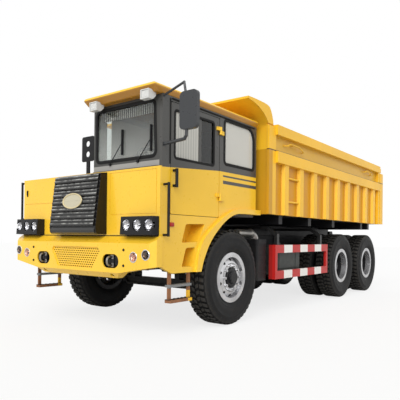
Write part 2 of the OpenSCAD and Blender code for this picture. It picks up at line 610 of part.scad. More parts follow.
module knuckle() {
  union() {
    translate([0, king_y, axle_z - 130]) cylinder(r = 25, h = 260);
    for (z = [axle_z - 130, axle_z + 85]) bx([-50, 50], [king_y - 50, king_y + 105], [z, z + 45]);
    bx([-50, 50], [king_y + 65, king_y + 105], [axle_z - 130, axle_z + 130]);
    along_y(0, king_y + 70, axle_z) cylinder(r = spin_r, h = ty + 78 - king_y - 70);
    bx([arm_x, -40], [king_y - 20, king_y + 20], [axle_z - 130, axle_z - 100]);
    translate([arm_x, king_y, axle_z - 190]) cylinder(r = 20, h = 90);
  }
}
module left_knuckle() { color([0.18, 0.18, 0.19]) knuckle(); }
module right_knuckle() { color([0.18, 0.18, 0.19]) mirror([0, 1, 0]) knuckle(); }
module tie_rod() {
  color(black) difference() {
    union() {
      along_y(arm_x, -king_y, axle_z - 162) cylinder(r = 24, h = 2 * king_y);
      both() translate([arm_x, king_y, axle_z - 190]) cylinder(r = 38, h = 55);
    }
    both() translate([arm_x, king_y, axle_z - 200]) cylinder(r = 20 + pin_clear, h = 90);
  }
}
module rear_axle(x) {
  along_y(x, -twin_y + 165, axle_z) cylinder(r = 85, h = 2 * twin_y - 330);
  along_y(x, -twin_y - 150, axle_z) cylinder(r = hub_r, h = 2 * twin_y + 300);
  along_x(x - 170, 0, axle_z) cylinder(r = 195, h = 340);
  both() bx([x - 60, x + 60], [rail_o + 5, rail_o + 85], [axle_z, axle_z + 100]);
}
module rear_axles() { color([0.15, 0.15, 0.16]) for (x = [rear1, rear2]) union() rear_axle(x); }
module rear_springs() {
  m = (rear1 + rear2) / 2;
  z = axle_z + 100;
  half = tandem / 2 + 90;
  steps = [for (k = [0 : 5]) for (e = [0, 1]) [half - 105 * k, z + 14 * (k + e)]];
  color(black) both() union() {
    side(concat([for (p = steps) [m + p[0], p[1]]], [for (p = back(steps)) [m - p[0], p[1]]]), rail_o + 5, rail_o + 85);
    bx([m - 90, m + 90], [rail_o, rail_o + 85], [axle_z - 30, z + 1]);
  }
}
module propeller_shafts() {
  z = axle_b + 60;
  body([0.25, 0.25, 0.26]) {
    union() {
      along_x(-1250, 0, 800) cylinder(r = 70, h = 50);
      rod([-1230, 0, 800], [rear1 + 200, 0, z], 90);
      along_x(rear1 + 170, 0, z) cylinder(r = 70, h = 50);
    }
    along_x(rear2 + 170, 0, z) cylinder(r = 45, h = tandem - 340);
  }
}

// Wheels, drawn about the Z axis with +Z outboard and then turned to lie along Y
function tyre_half() = let (h = tyre_d / 2 - rim_r, w = tyre_w / 2)
  [[rim_r, 113], [rim_r + 43, 113], [rim_r + 62, 127], [rim_r + 0.38 * h, w - 7], [rim_r + 0.52 * h, w],
  [rim_r + 0.68 * h, w - 3], [rim_r + 0.84 * h, w - 13], [tyre_d / 2 - 14, w - 20], [tyre_d / 2, w - 34]];
module tyre() {
  h = tyre_half();
  rotate_extrude() polygon(concat(h, [for (p = back(h)) [p[0], -p[1]]]));
}
rim_pts = [[rim_r - 14, -125], [rim_r + 41, -125], [rim_r + 41, -113], [rim_r, -113], [rim_r, 113], [rim_r + 41, 113],
  [rim_r + 41, 125], [rim_r - 14, 125]];
module front_rim() {
  difference() {
    union() {
      rotate_extrude() polygon(rim_pts);
      rotate_extrude() polygon([[rim_r - 13, 34], [rim_r - 13, 60], [224, 88], [196, 110], [176, 118], [116, 118], [116, 98],
        [170, 98], [188, 90], [212, 68]]);
      rotate_extrude() polygon([[spin_r + pin_clear, -80], [110, -80], [110, 78], [165, 78], [165, 99], [112, 99], [112, 124],
        [104, 132], [80, 134], [76, 158], [66, 166], [0, 166], [0, 86], [spin_r + pin_clear, 86]]);
      for (i = [0 : 9]) rotate(36 * i) translate([146, 0, 97]) cylinder(r = 15, h = 46);
    }
    for (i = [0 : 9]) rotate(36 * i + 18) translate([214, 0, -60]) cylinder(r = 17, h = 240);
  }
}
module twin_rims() {
  d = dual_pitch / 2;
  difference() {
    union() {
      for (s = [-1, 1]) translate([0, 0, s * d]) rotate_extrude() polygon(rim_pts);
      for (s = [0, 1]) mirror([0, 0, s]) rotate_extrude() polygon([[100, -1], [186, -1], [rim_r - 13, d - 100],
        [rim_r - 13, d - 72], [180, 20], [100, 20]]);
      rotate_extrude() polygon([[hub_r + pin_clear, -158], [200, -158], [200, -30], [186, -2], [186, 2], [125, 19],
        [125, 150], [105, 178], [78, 184], [78, 206], [0, 206], [0, 156], [hub_r + pin_clear, 156]]);
      for (i = [0 : 9]) rotate(36 * i) translate([152, 0, 15]) cylinder(r = 15, h = 30);
    }
    for (i = [0 : 9]) rotate(36 * i + 18) translate([216, 0, 5]) cylinder(r = 22, h = d);
  }
}
tyre_c = [0.07, 0.07, 0.07];
rim_c = [0.75, 0.75, 0.75];
module front_left_tyre() { color(tyre_c) along_y(0, ty, axle_z) tyre(); }
module front_left_wheel() { color(rim_c) along_y(0, ty, axle_z) front_rim(); }
module front_right_tyre() { color(tyre_c) mirror([0, 1, 0]) along_y(0, ty, axle_z) tyre(); }
module front_right_wheel() { color(rim_c) mirror([0, 1, 0]) along_y(0, ty, axle_z) front_rim(); }
module twin_tyres(x) { for (y = [ty, ty - dual_pitch]) along_y(x, y, axle_z) tyre(); }
module mid_left_tyres() { color(tyre_c) twin_tyres(rear1); }
module mid_left_wheels() { color(rim_c) along_y(rear1, twin_y, axle_z) twin_rims(); }
module mid_right_tyres() { color(tyre_c) mirror([0, 1, 0]) twin_tyres(rear1); }
module mid_right_wheels() { color(rim_c) mirror([0, 1, 0]) along_y(rear1, twin_y, axle_z) twin_rims(); }
module rear_left_tyres() { color(tyre_c) twin_tyres(rear2); }
module rear_left_wheels() { color(rim_c) along_y(rear2, twin_y, axle_z) twin_rims(); }
module rear_right_tyres() { color(tyre_c) mirror([0, 1, 0]) twin_tyres(rear2); }
module rear_right_wheels() { color(rim_c) mirror([0, 1, 0]) along_y(rear2, twin_y, axle_z) twin_rims(); }

// Dump body
rib_first = -bed_front - 432;
rib_pitch = (rib_first - (bed_end + 333)) / (rib_n - 1);
function rib_x(i) = rib_first - i * rib_pitch;
module bed_floor() {
  body(yellow) union() {
    bx([bed_end, -bed_front - 60], [-bed_i, bed_i], [bed_z, bed_z + 20]);
    for (x = [rib_x(0), rib_x(2), rib_x(4), rear1 - 880, pivot_x + 200])
      bx([x - 50, x + 50], [-bed_i + 20, bed_i - 20], [bed_z - 120, bed_z + 1]);
    both() {
      bx([pivot_x + 200, -bed_front - 60], [rail_i - 20, rail_o], [rail_top + 5, bed_z + 1]);
      difference() {
        union() {
          side([[pivot_x - 75, pivot_z], [pivot_x + 75, pivot_z], [pivot_x + 230, bed_z + 1], [pivot_x - 120, bed_z + 1]],
            rail_i - 95, rail_i - 25);
          along_y(pivot_x, rail_i - 95, pivot_z) cylinder(r = 75, h = 70);
        }
        along_y(pivot_x, rail_i - 120, pivot_z) cylinder(r = 40 + pin_clear, h = 120);
      }
      for (y = [135, 245]) side([[hoist_e[0] - 60, hoist_e[1] - 50], [hoist_e[0] + 60, hoist_e[1] - 50],
        [hoist_e[0] + 130, bed_z + 1], [hoist_e[0] - 130, bed_z + 1]], y, y + 20);
    }
  }
}
module bed_side() {
  union() {
    bx([bed_end, -bed_front], [bed_i, bed_o], [bed_z, bed_top]);
    for (i = [0 : rib_n - 1]) translate([rib_x(i), 0, 0]) plan([[-rib_w / 2, bed_o - 1], [rib_w / 2, bed_o - 1],
      [rib_w / 2 - 18, bed_o + 54], [18 - rib_w / 2, bed_o + 54]], bed_z, bed_z + 700);
    bx([-bed_front - 150, -bed_front + 30], [bed_o - 1, bed_o + 36], [bed_z, bed_top - 30]);
    bx([bed_end, -bed_front - 130], [bed_o - 1, bed_o + 72], [bed_top - 130, bed_top]);
    bx([bed_end, -bed_front - 140], [bed_o - 1, bed_o + 72], [bed_z + 684, bed_z + 840]);
    bx([bed_end, bed_end + 90], [bed_o - 1, bed_o + 60], [bed_z, bed_top - 20]);
    for (z = [bed_z + 190, bed_z + 515])
      along_x(rib_x(1) - 10, bed_o + 24, z) cylinder(r = 14, h = rib_pitch + 20);
    bx([gate_px - 40, bed_end + 60], [bed_o + 10, bed_o + 50], [gate_pz - 40, gate_pz + 40]);
    along_y(gate_px, bed_i - 70, gate_pz) cylinder(r = 20, h = 101);
  }
}
module bed_sides() { body(yellow) both() bed_side(); }
canopy_out = smooth([[-bed_front - 120, bed_top], [-bed_front - 104, bed_top + 74], [-bed_front - 49, bed_top + 180],
  [-bed_front + 31, bed_top + 227], [-bed_front + 259, bed_top + 237], [-bed_front + 507, bed_top + 232]], 4);
canopy_in = smooth([[-bed_front + 507, bed_top + 205], [-bed_front + 281, bed_top + 165], [-bed_front + 104, bed_top + 85],
  [-bed_front + 20, bed_top + 10], [-bed_front, bed_top - 30]], 4);
module bed_front_wall() {
  body(yellow) union() {
    bx([-bed_front - 60, -bed_front], [-bed_i, bed_i], [bed_z, bed_top + 1]);
    intersection() {
      side(concat(canopy_out, canopy_in, [[-bed_front - 60, bed_top - 60], [-bed_front - 60, bed_top]]), -bed_o - 10, bed_o + 10);
      union() {
        bx([-2000, 2000], [-bed_o - 20, bed_o + 20], [bed_top, bed_top + 500]);
        bx([-bed_front, 2000], [-bed_i, bed_i], [bed_top - 100, bed_top + 1]);
      }
    }
  }
}
module tailgate() {
  body(yellow) difference() {
    union() {
      bx([gate_x - 20, gate_x], [-bed_o - 72, bed_o + 72], [bed_z + 2, bed_top - 140]);
      for (y = [-1150, -575, 0, 575, 1150])
        bx([gate_x - 165, gate_x - 19], [y - 60, y + 60], [bed_z + 2, bed_top - 150]);
      for (z = [bed_z + 2, bed_z + 600, bed_top - 240])
        bx([gate_x - 165, gate_x - 19], [-bed_o - 72, bed_o + 72], [z, z + 100]);
      both() {
        bx([gate_x - 165, gate_x - 19], [bed_o - 60, bed_o + 72], [bed_z + 2, bed_top - 140]);
        bx([gate_px - 40, gate_px + 40], [bed_i - 55, bed_i - 5], [gate_pz - 120, gate_pz]);
        along_y(gate_px, bed_i - 55, gate_pz) cylinder(r = 40, h = 50);
      }
    }
    both() along_y(gate_px, bed_i - 100, gate_pz) cylinder(r = 20 + pin_clear, h = 120);
  }
}

// Hoist: two cylinders drawn along their own axis from the base shaft to the rod eye
hoist_v = hoist_e - hoist_b;
hoist_l = norm(hoist_v);
hoist_a = atan2(hoist_v[1], hoist_v[0]);
module hoist(y) { translate([hoist_b[0], y, hoist_b[1]]) rotate([0, -hoist_a, 0]) children(); }
module hoist_barrels() {
  body([0.25, 0.25, 0.26]) for (y = [-200, 200]) hoist(y) difference() {
    union() {
      along_x(40, 0, 0) cylinder(r = 68, h = 1290);
      rotate([90, 0, 0]) cylinder(r = 62, h = 90, center = true);
    }
    rotate([90, 0, 0]) cylinder(r = 35 + pin_clear, h = 200, center = true);
    along_x(230, 0, 0) cylinder(r = 42 + pin_clear, h = 1200);
  }
}
module hoist_rods() {
  body([0.8, 0.8, 0.82]) for (y = [-200, 200]) hoist(y) union() {
    along_x(300, 0, 0) cylinder(r = 42, h = hoist_l - 320);
    translate([hoist_l, 0, 0]) rotate([90, 0, 0]) cylinder(r = 50, h = 76, center = true);
  }
}

chassis_frame();
tow_lugs();
engine_block();
front_bumper();
bumper_grille();
nose_panel();
radiator_grille();
lamp_housings();
lamp_lenses();
front_fenders();
engine_hood();
cab_frame();
cab_left_side();
cab_front();
cab_roof();
cab_glass();
left_mirror();
grab_rails();
wipers();
dashboard();
driver_seat();
access_ladders();
side_guards();
battery_box();
fuel_tank();
exhaust();
front_axle();
front_springs();
rear_axles();
rear_springs();
propeller_shafts();
deck_guard();
cab_door();
door_glass();
door_handle();
left_knuckle();
right_knuckle();
tie_rod();
front_left_tyre();
front_left_wheel();
front_right_tyre();
front_right_wheel();
mid_left_tyres();
mid_left_wheels();
mid_right_tyres();
mid_right_wheels();
rear_left_tyres();
rear_left_wheels();
rear_right_tyres();
rear_right_wheels();
bed_floor();
bed_sides();
bed_front_wall();
tailgate();
hoist_barrels();
hoist_rods();
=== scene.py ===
import math

import bpy
from mathutils import Matrix, Vector


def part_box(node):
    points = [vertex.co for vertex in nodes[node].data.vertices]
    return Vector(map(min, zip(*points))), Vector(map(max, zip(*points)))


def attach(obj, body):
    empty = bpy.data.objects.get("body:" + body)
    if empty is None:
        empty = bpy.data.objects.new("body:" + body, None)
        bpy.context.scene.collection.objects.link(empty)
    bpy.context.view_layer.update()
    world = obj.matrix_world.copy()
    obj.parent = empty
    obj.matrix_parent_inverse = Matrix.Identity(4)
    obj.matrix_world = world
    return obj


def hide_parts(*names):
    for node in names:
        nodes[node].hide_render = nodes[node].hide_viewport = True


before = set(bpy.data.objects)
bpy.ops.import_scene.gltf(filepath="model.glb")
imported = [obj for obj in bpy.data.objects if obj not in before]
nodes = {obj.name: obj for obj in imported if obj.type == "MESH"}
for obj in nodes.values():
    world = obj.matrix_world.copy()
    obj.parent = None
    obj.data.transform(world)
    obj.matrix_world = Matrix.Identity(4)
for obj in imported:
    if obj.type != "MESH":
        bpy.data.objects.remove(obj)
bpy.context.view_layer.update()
finishes = {}
print("frame loaded:", len(nodes), "nodes")

# camera solved from the photo, in the truck's own frame
photo = {
    "place": (4.655, 4.319, 1.033), "yaw": 217.186, "pitch": 0.241, "roll": 0.621, "focalPixels": 468.64,
    "middle": (204.64, 235.75), "imageSize": 400, "sensor": 36, "far": 200}


def placeCamera():
    yaw, pitch, roll = [math.radians(photo[way]) for way in ("yaw", "pitch", "roll")]
    ahead = Vector((math.cos(yaw) * math.cos(pitch), math.sin(yaw) * math.cos(pitch), math.sin(pitch)))
    right = ahead.cross(Vector((0, 0, 1))).normalized()
    up = right.cross(ahead)
    camX = right * math.cos(roll) + up * math.sin(roll)
    camY = up * math.cos(roll) - right * math.sin(roll)
    bpy.ops.object.camera_add()
    cam = bpy.context.object
    cam.name = "photoCamera"
    turn = Matrix((camX, camY, -ahead)).transposed()
    cam.matrix_world = Matrix.Translation(photo["place"]) @ turn.to_4x4()
    size = photo["imageSize"]
    middleX, middleY = photo["middle"]
    cam.data.sensor_width = photo["sensor"]
    cam.data.lens = photo["focalPixels"] / size * photo["sensor"]
    cam.data.shift_x = (size / 2 - middleX) / size
    cam.data.shift_y = (middleY - size / 2) / size
    cam.data.clip_end = photo["far"]
    bpy.context.scene.camera = cam


# soft daylight: one broad sun from ahead, a pale sky and a pale floor
light = {
    "sunPlace": (4, -2, 8), "sunTurn": (57, 0, 119), "sunPower": 2.7, "sunSoftness": 50, "skyPower": 0.58,
    "white": (1, 1, 1, 1), "floorSize": 120, "floorPlace": (-2, 0, -0.002), "floorColor": (0.7, 0.7, 0.69),
    "floorRough": 0.9, "floorShare": 0.72, "floorGlow": 1.06}


def setLight():
    bpy.ops.object.light_add(type="SUN", location=light["sunPlace"])
    sun = bpy.context.object
    sun.name = "softSun"
    sun.rotation_euler = [math.radians(a) for a in light["sunTurn"]]
    sun.data.energy = light["sunPower"]
    sun.data.angle = math.radians(light["sunSoftness"])
    world = bpy.data.worlds.new("paleSky")
    bpy.context.scene.world = world
    world.use_nodes = True
    back = world.node_tree.nodes["Background"]
    path = addNode(back, "LightPath")
    seen = larger(path.outputs["Is Glossy Ray"], path.outputs["Is Transmission Ray"])
    seen = larger(path.outputs["Is Camera Ray"], seen)
    feed(back, "Color", light["white"])
    feed(back, "Strength", addRange(seen, 0, 1, light["skyPower"], 1))
    bpy.context.scene.view_settings.view_transform = "Standard"


def layFloor():
    bpy.ops.mesh.primitive_plane_add(size=light["floorSize"], location=light["floorPlace"])
    floor = bpy.context.object
    floor.name = "paleFloor"
    applyPlace()
    bsdf = startMaterial("paleFloor")[0]
    coverWith(bsdf, shade(light["floorColor"]), light["floorRough"])
    glow = addNode(bsdf, "Emission")
    feed(glow, "Color", light["white"])
    feed(glow, "Strength", light["floorGlow"])
    path = addNode(bsdf, "LightPath")
    mix = addNode(bsdf, "MixShader")
    feed(mix, "Fac", times(path.outputs["Is Camera Ray"], light["floorShare"]))
    feed(mix, 1, bsdf.outputs[0])
    feed(mix, 2, glow.outputs[0])
    feed(bsdf.id_data.nodes["Material Output"], "Surface", mix.outputs[0])
    floor.data.materials.append(finishes["paleFloor"])


# node helpers; each finds its tree from the sockets or nodes that it is given
def isPlain(value):
    return isinstance(value, (int, float, tuple))


def feed(node, socket, value):
    if isPlain(value):
        node.inputs[socket].default_value = value
    else:
        node.id_data.links.new(value, node.inputs[socket])


def addNode(beside, kind):
    return beside.id_data.nodes.new("ShaderNode" + kind)


# a new finish: its shader and the three coordinates of a point
def startMaterial(name):
    mat = bpy.data.materials.new(name)
    mat.use_nodes = True
    finishes[name] = mat
    bsdf = mat.node_tree.nodes["Principled BSDF"]
    coord = addNode(bsdf, "TexCoord")
    coord.name = "coord"
    place = addNode(bsdf, "SeparateXYZ")
    feed(place, 0, coord.outputs["Object"])
    return bsdf, place.outputs["X"], place.outputs["Y"], place.outputs["Z"]


def coverWith(bsdf, color, rough, shine=0.5):
    feed(bsdf, "Base Color", color)
    feed(bsdf, "Roughness", rough)
    feed(bsdf, "Specular IOR Level", shine)


def addNoise(bsdf, scale, detail=4, rough=0.55, stretch=None):
    noise = addNode(bsdf, "TexNoise")
    feed(noise, "Scale", scale)
    feed(noise, "Detail", detail)
    feed(noise, "Roughness", rough)
    place = bsdf.id_data.nodes["coord"].outputs["Object"]
    if stretch:
        drawn = addNode(bsdf, "VectorMath")
        drawn.operation = "MULTIPLY"
        feed(drawn, 0, place)
        feed(drawn, 1, stretch)
        place = drawn.outputs[0]
    feed(noise, "Vector", place)
    return noise.outputs["Fac"]


def addRange(value, fromLow, fromHigh, toLow, toHigh):
    ranger = addNode(value, "MapRange")
    feed(ranger, "Value", value)
    feed(ranger, "From Min", fromLow)
    feed(ranger, "From Max", fromHigh)
    feed(ranger, "To Min", toLow)
    feed(ranger, "To Max", toHigh)
    return ranger.outputs["Result"]


def addMath(kind, a, b=0):
    node = addNode(b if isPlain(a) else a, "Math")
    node.operation = kind
    feed(node, 0, a)
    feed(node, 1, b)
    return node.outputs[0]


def times(a, b):
    return addMath("MULTIPLY", a, b)


def larger(a, b):
    return addMath("MAXIMUM", a, b)


def above(value, edge):
    return addMath("GREATER_THAN", value, edge)


def below(value, edge):
    return addMath("LESS_THAN", value, edge)


def between(value, low, high):
    return times(above(value, low), below(value, high))


def opposite(value):
    return addMath("SUBTRACT", 1, value)


# sockets 6, 7 and 2 hold the node's colours
def addMix(share, a, b):
    mix = addNode(share, "Mix")
    mix.data_type = "RGBA"
    feed(mix, "Factor", share)
    feed(mix, 6, a)
    feed(mix, 7, b)
    return mix.outputs[2]


def shade(color, k=1):
    return (color[0] * k, color[1] * k, color[2] * k, 1)


# colours laid one over the other, each where its mask is set
def layOver(color, *coats):
    for mask, coat in coats:
        color = addMix(mask, color, shade(coat))
    return color


def addBump(bsdf, height, strength, distance):
    bump = addNode(bsdf, "Bump")
    feed(bump, "Strength", strength)
    feed(bump, "Distance", distance)
    feed(bump, "Height", height)
    feed(bsdf, "Normal", bump.outputs["Normal"])


# what the paints share: slow colour drift, changing gloss, an orange-peel surface and road dust low down
paint = {
    "drift": 1.3, "tones": (0.93, 1.05), "gloss": 22, "glossSpread": (-0.05, 0.09), "peel": 140,
    "peelStrength": 0.025, "peelDepth": 0.001, "coatRough": 0.08, "dust": (0.3, 0.25, 0.18),
    "dustHeights": (1.0, 0.35), "dustPatches": (7, 6), "dustShare": (0.42, 0.68, 0.15, 1)}


# where most of a noise lies, and noise brought from there to other values
noiseSpan = (0.3, 0.7)


def cloud(bsdf, scale, low=0, high=1):
    return addRange(addNoise(bsdf, scale), *noiseSpan, low, high)


def addTones(share, color, tones):
    return addMix(share, shade(color, tones[0]), shade(color, tones[1]))


def driftColor(bsdf, color):
    return addTones(cloud(bsdf, paint["drift"]), color, paint["tones"])


def gloss(bsdf, low, high):
    return cloud(bsdf, paint["gloss"], low, high)


def addPeel(bsdf, strength=paint["peelStrength"], scale=paint["peel"]):
    addBump(bsdf, addNoise(bsdf, scale, 2), strength, paint["peelDepth"])


def addCoat(bsdf, weight):
    feed(bsdf, "Coat Weight", weight)
    feed(bsdf, "Coat Roughness", paint["coatRough"])


def paintMaterial(name, color, rough, dust, metal, split=None, coat=0, shine=0.5):
    bsdf, x, y, z = startMaterial(name)
    body = driftColor(bsdf, color)
    if split:
        edge, other = split
        body = layOver(body, (above(z, edge), other))
    low = addRange(z, *paint["dustHeights"], 0, dust)
    patch = addRange(addNoise(bsdf, *paint["dustPatches"]), *paint["dustShare"])
    body = layOver(body, (times(low, patch), paint["dust"]))
    coverWith(bsdf, body, gloss(bsdf, *[rough + change for change in paint["glossSpread"]]), shine)
    feed(bsdf, "Metallic", metal)
    addCoat(bsdf, coat)
    addPeel(bsdf)


yellow = (0.86, 0.52, 0.028)
bedYellow = (0.85, 0.48, 0.02)
blackCoat = (0.009, 0.009, 0.01)
cabGrey = (0.056, 0.055, 0.051)

# colour, roughness, dust, metal, then what sets a finish apart; a split is a height and the colour over it
plainFinishes = {
    "yellowPaint": (yellow, 0.3, 0.05, 0, {"coat": 0.3}),
    # the roof is dark orange below the split height as painted shade on the visor fascia, yellow above it
    "roofFasciaShadePaint": ((0.46, 0.205, 0.015), 0.32, 0, 0, {"split": (2.518, yellow), "coat": 0.2}),
    "blackPaint": (blackCoat, 0.4, 0.06, 0, {"shine": 0.2}),
    "blackPlastic": ((0.01, 0.01, 0.011), 0.45, 0.03, 0, {"shine": 0.25}),
    "lampCases": ((0.01, 0.01, 0.011), 0.4, 0.03, 0, {"split": (2.3, (0.6, 0.6, 0.58)), "shine": 0.25}),
    "mirrorShell": ((0.026, 0.028, 0.031), 0.3, 0, 0, {"shine": 0.55}),
    "softRubber": ((0.008, 0.008, 0.008), 0.6, 0, 0, {"shine": 0.2}),
    "greyPaint": (cabGrey, 0.36, 0, 0, {"shine": 0.35}),
    "cabFrontPaint": ((0.3, 0.29, 0.27), 0.4, 0, 0, {"split": (1.806, cabGrey), "shine": 0.35}),
    "castIron": ((0.02, 0.02, 0.02), 0.6, 0.1, 0, {"shine": 0.2}),
    "tankPaint": ((0.035, 0.042, 0.039), 0.38, 0.08, 0, {"shine": 0.3}),
    "pipeSteel": ((0.5, 0.49, 0.46), 0.34, 0.1, 0.9, {}),
    "brightChrome": ((0.82, 0.82, 0.83), 0.14, 0, 1, {}),
    "lampDish": ((0.62, 0.62, 0.64), 0.16, 0, 1, {}),
    "warmDish": ((0.72, 0.44, 0.33), 0.25, 0, 0.7, {}),
    "darkDish": ((0.14, 0.085, 0.05), 0.2, 0, 0.7, {}),
    "forgedSteel": ((0.3, 0.28, 0.25), 0.3, 0, 0.9, {}),
    "mirrorGlass": ((0.9, 0.91, 0.92), 0.06, 0, 1, {}),
    "goldTrim": ((0.66, 0.56, 0.33), 0.35, 0, 0.5, {}),
    "badgePlate": ((0.52, 0.48, 0.35), 0.42, 0, 0.2, {}),
    "rodChrome": ((0.75, 0.75, 0.77), 0.12, 0, 1, {}),
    "amberPlastic": ((0.85, 0.3, 0.01), 0.2, 0, 0, {}),
    "redPlastic": ((0.4, 0.012, 0.01), 0.2, 0, 0, {}),
    "whitePlastic": ((0.62, 0.62, 0.6), 0.25, 0, 0, {}),
}


def makeFinishes():
    for name, (color, rough, dust, metal, more) in plainFinishes.items():
        paintMaterial(name, color, rough, dust, metal, **more)
    bedMaterial("bedPaint")
    bedMaterial("bedFloorPaint")
    tyreMaterial("tyreRubber")
    seatMaterial("seatCloth")
    curtainMaterial("curtainCloth")
    lampGlassMaterial("lampGlass")
    windowMaterial("windowGlass")
    cabFrameMaterial("cabFramePaint")
    ladderMaterial("ladderPaint")
    wheelMaterial("wheelPaint")
    grilleMaterial("grilleBlack")
    cabSideMaterial("cabSidePaint")
    guardMaterial("guardPaint")
    print("finishes made:", len(finishes))


# painted shade: the sheet behind the rails and ribs darker, the panels between the ribs darker still, a
# painted shadow line along the top of the middle rail, the cab's painted shadow on the front wall and black
# painted shade under the floor; scraped steel inside the box; coats: half width of the black painted shade
# below, shine
bed = {
    "coats": {"bedPaint": (0, 0.45), "bedFloorPaint": (2, 0.2)}, "sheet": (1.286, 1.3), "railLow": 2.03,
    "railTop": (2.184, 2.2), "panel": (0.6, 0.275, 0.008), "plate": (0.72, 0.41, 0.026),
    "railGapShadow": (0.12, 0.06, 0.01), "wall": (0.56, 0.28, 0.01), "wallFront": -0.74, "wallTop": 2.2,
    "steel": (0.17, 0.15, 0.125), "boxIn": 1.2695, "inside": (-5.22, -0.738), "rubbedTop": 2.5,
    "under": 1.352, "scrapes": (3.5, 8, 0.62, (0.35, 1.4, 1.4)), "rubbingAndGlint": (0.22, -0.2),
    "scraped": (0.42, 0.66, 0, 0.92), "gloss": (0.32, 0.46)}


def bedMaterial(name):
    bsdf, x, y, z = startMaterial(name)
    underShadeHalf, shine = bed["coats"][name]
    out = addMath("ABSOLUTE", y)
    # painted shade: the sheet behind the rails and ribs gets the darker plate colour, and the panels below
    # the middle rail a darker one still
    sheet = between(out, *bed["sheet"])
    panel = times(sheet, below(z, bed["railLow"]))
    # painted shadow: the front wall below the rail top is painted darker as the cab's shadow on it
    wall = times(above(x, bed["wallFront"]), below(z, bed["wallTop"]))
    # painted shadow: a dark line along the top of the middle rail, standing in for the shadow in its gap
    railGapShadow = times(between(z, *bed["railTop"]), above(out, bed["sheet"][0]))
    height = addRange(z, bed["under"], bed["rubbedTop"], *bed["rubbingAndGlint"])
    scrape = addMath("ADD", addNoise(bsdf, *bed["scrapes"]), height)
    inside = times(between(x, *bed["inside"]), below(out, bed["boxIn"]))
    bare = times(inside, addRange(scrape, *bed["scraped"]))
    # painted shade: black below the underside height, standing in for the shade under the bed floor
    under = times(below(z, bed["under"]), below(out, underShadeHalf))
    body = layOver(driftColor(bsdf, bedYellow), (sheet, bed["plate"]), (panel, bed["panel"]),
                   (wall, bed["wall"]), (railGapShadow, bed["railGapShadow"]), (bare, bed["steel"]), (under, blackCoat))
    coverWith(bsdf, body, gloss(bsdf, *bed["gloss"]), shine)
    addPeel(bsdf)


# distance of a point from the nearest axle line
def axleDistance(x, z):
    flat = addNode(x, "CombineXYZ")
    feed(flat, 0, x)
    feed(flat, 2, z)
    near = None
    for axle in wheel["axles"]:
        gap = addNode(x, "VectorMath")
        gap.operation = "DISTANCE"
        feed(gap, 0, flat.outputs[0])
        feed(gap, 1, (axle, 0, wheel["height"]))
        near = gap.outputs["Value"] if near is None else addMath("MINIMUM", near, gap.outputs["Value"])
    return near


# black rubber, dusty on the tread blocks, with painted shade making it darkest in the grooves
tyreZones = {
    "groove": (0.542, 0.556), "tread": 0.503, "wall": (0.009, 0.009, 0.0095), "shine": 0.22,
    "dusty": (0.03, 0.028, 0.025), "recessShade": (0.003, 0.003, 0.003), "dust": (9, 6),
    "dustShare": (0.5, 0.8, 0, 0.5), "gloss": (0.5, 0.7), "grain": (90, 3), "relief": (0.12, 0.002)}


def tyreMaterial(name):
    bsdf, x, y, z = startMaterial(name)
    near = axleDistance(x, z)
    dust = addNoise(bsdf, *tyreZones["dust"])
    worn = addRange(near, tyreZones["tread"], tyreZones["groove"][1], 0, 1)
    dusty = larger(addRange(dust, *tyreZones["dustShare"]), worn)
    # painted shade: the groove bottoms between the blocks are painted near-black
    groove = between(near, *tyreZones["groove"])
    rubber = layOver(shade(tyreZones["wall"]), (dusty, tyreZones["dusty"]), (groove, tyreZones["recessShade"]))
    coverWith(bsdf, rubber, addRange(dust, *noiseSpan, *tyreZones["gloss"]), tyreZones["shine"])
    addBump(bsdf, addNoise(bsdf, *tyreZones["grain"]), *tyreZones["relief"])


# cloth with its threads standing up
weaveForm = {
    "rough": (0.8, 0.95), "relief": (0.35, 0.002), "seatColor": (0.035, 0.035, 0.04), "seatThreads": 420,
    "seatWear": 6, "seatTones": (0.75, 1.25)}


def weaveWith(bsdf, color, threads):
    weave = addNoise(bsdf, threads, 2)
    coverWith(bsdf, color, addRange(weave, *noiseSpan, *weaveForm["rough"]))
    addBump(bsdf, weave, *weaveForm["relief"])


def seatMaterial(name):
    bsdf = startMaterial(name)[0]
    color = addTones(cloud(bsdf, weaveForm["seatWear"]), weaveForm["seatColor"], weaveForm["seatTones"])
    weaveWith(bsdf, color, weaveForm["seatThreads"])


# striped cloth: pale and dark bands down each pleat
stripes = {
    "pitch": 0.0315, "pale": (0.72, 0.69, 0.63), "dark": (0.09, 0.075, 0.065), "stray": 40,
    "edge": (0.2, 0.9), "threads": 300}


def curtainMaterial(name):
    bsdf, x, y, z = startMaterial(name)
    wave = addMath("SINE", times(y, 2 * math.pi / stripes["pitch"]))
    wave = addMath("ADD", wave, addNoise(bsdf, stripes["stray"]))
    band = addRange(wave, *stripes["edge"], 0, 1)
    color = layOver(shade(stripes["dark"]), (band, stripes["pale"]))
    weaveWith(bsdf, color, stripes["threads"])


# faint smears on all the glass
glaze = {
    "smears": 3, "span": (0.4, 0.7), "refraction": 1.45, "lampTint": (0.97, 0.97, 0.97),
    "lampRough": (0.03, 0.06), "paneRough": (0.02, 0.06)}


def glazeWith(bsdf, color, clear, rough):
    coverWith(bsdf, color, addRange(addNoise(bsdf, glaze["smears"]), *glaze["span"], *rough))
    feed(bsdf, "Transmission Weight", clear)
    feed(bsdf, "IOR", glaze["refraction"])


def lampGlassMaterial(name):
    bsdf = startMaterial(name)[0]
    glazeWith(bsdf, shade(glaze["lampTint"]), 1, glaze["lampRough"])


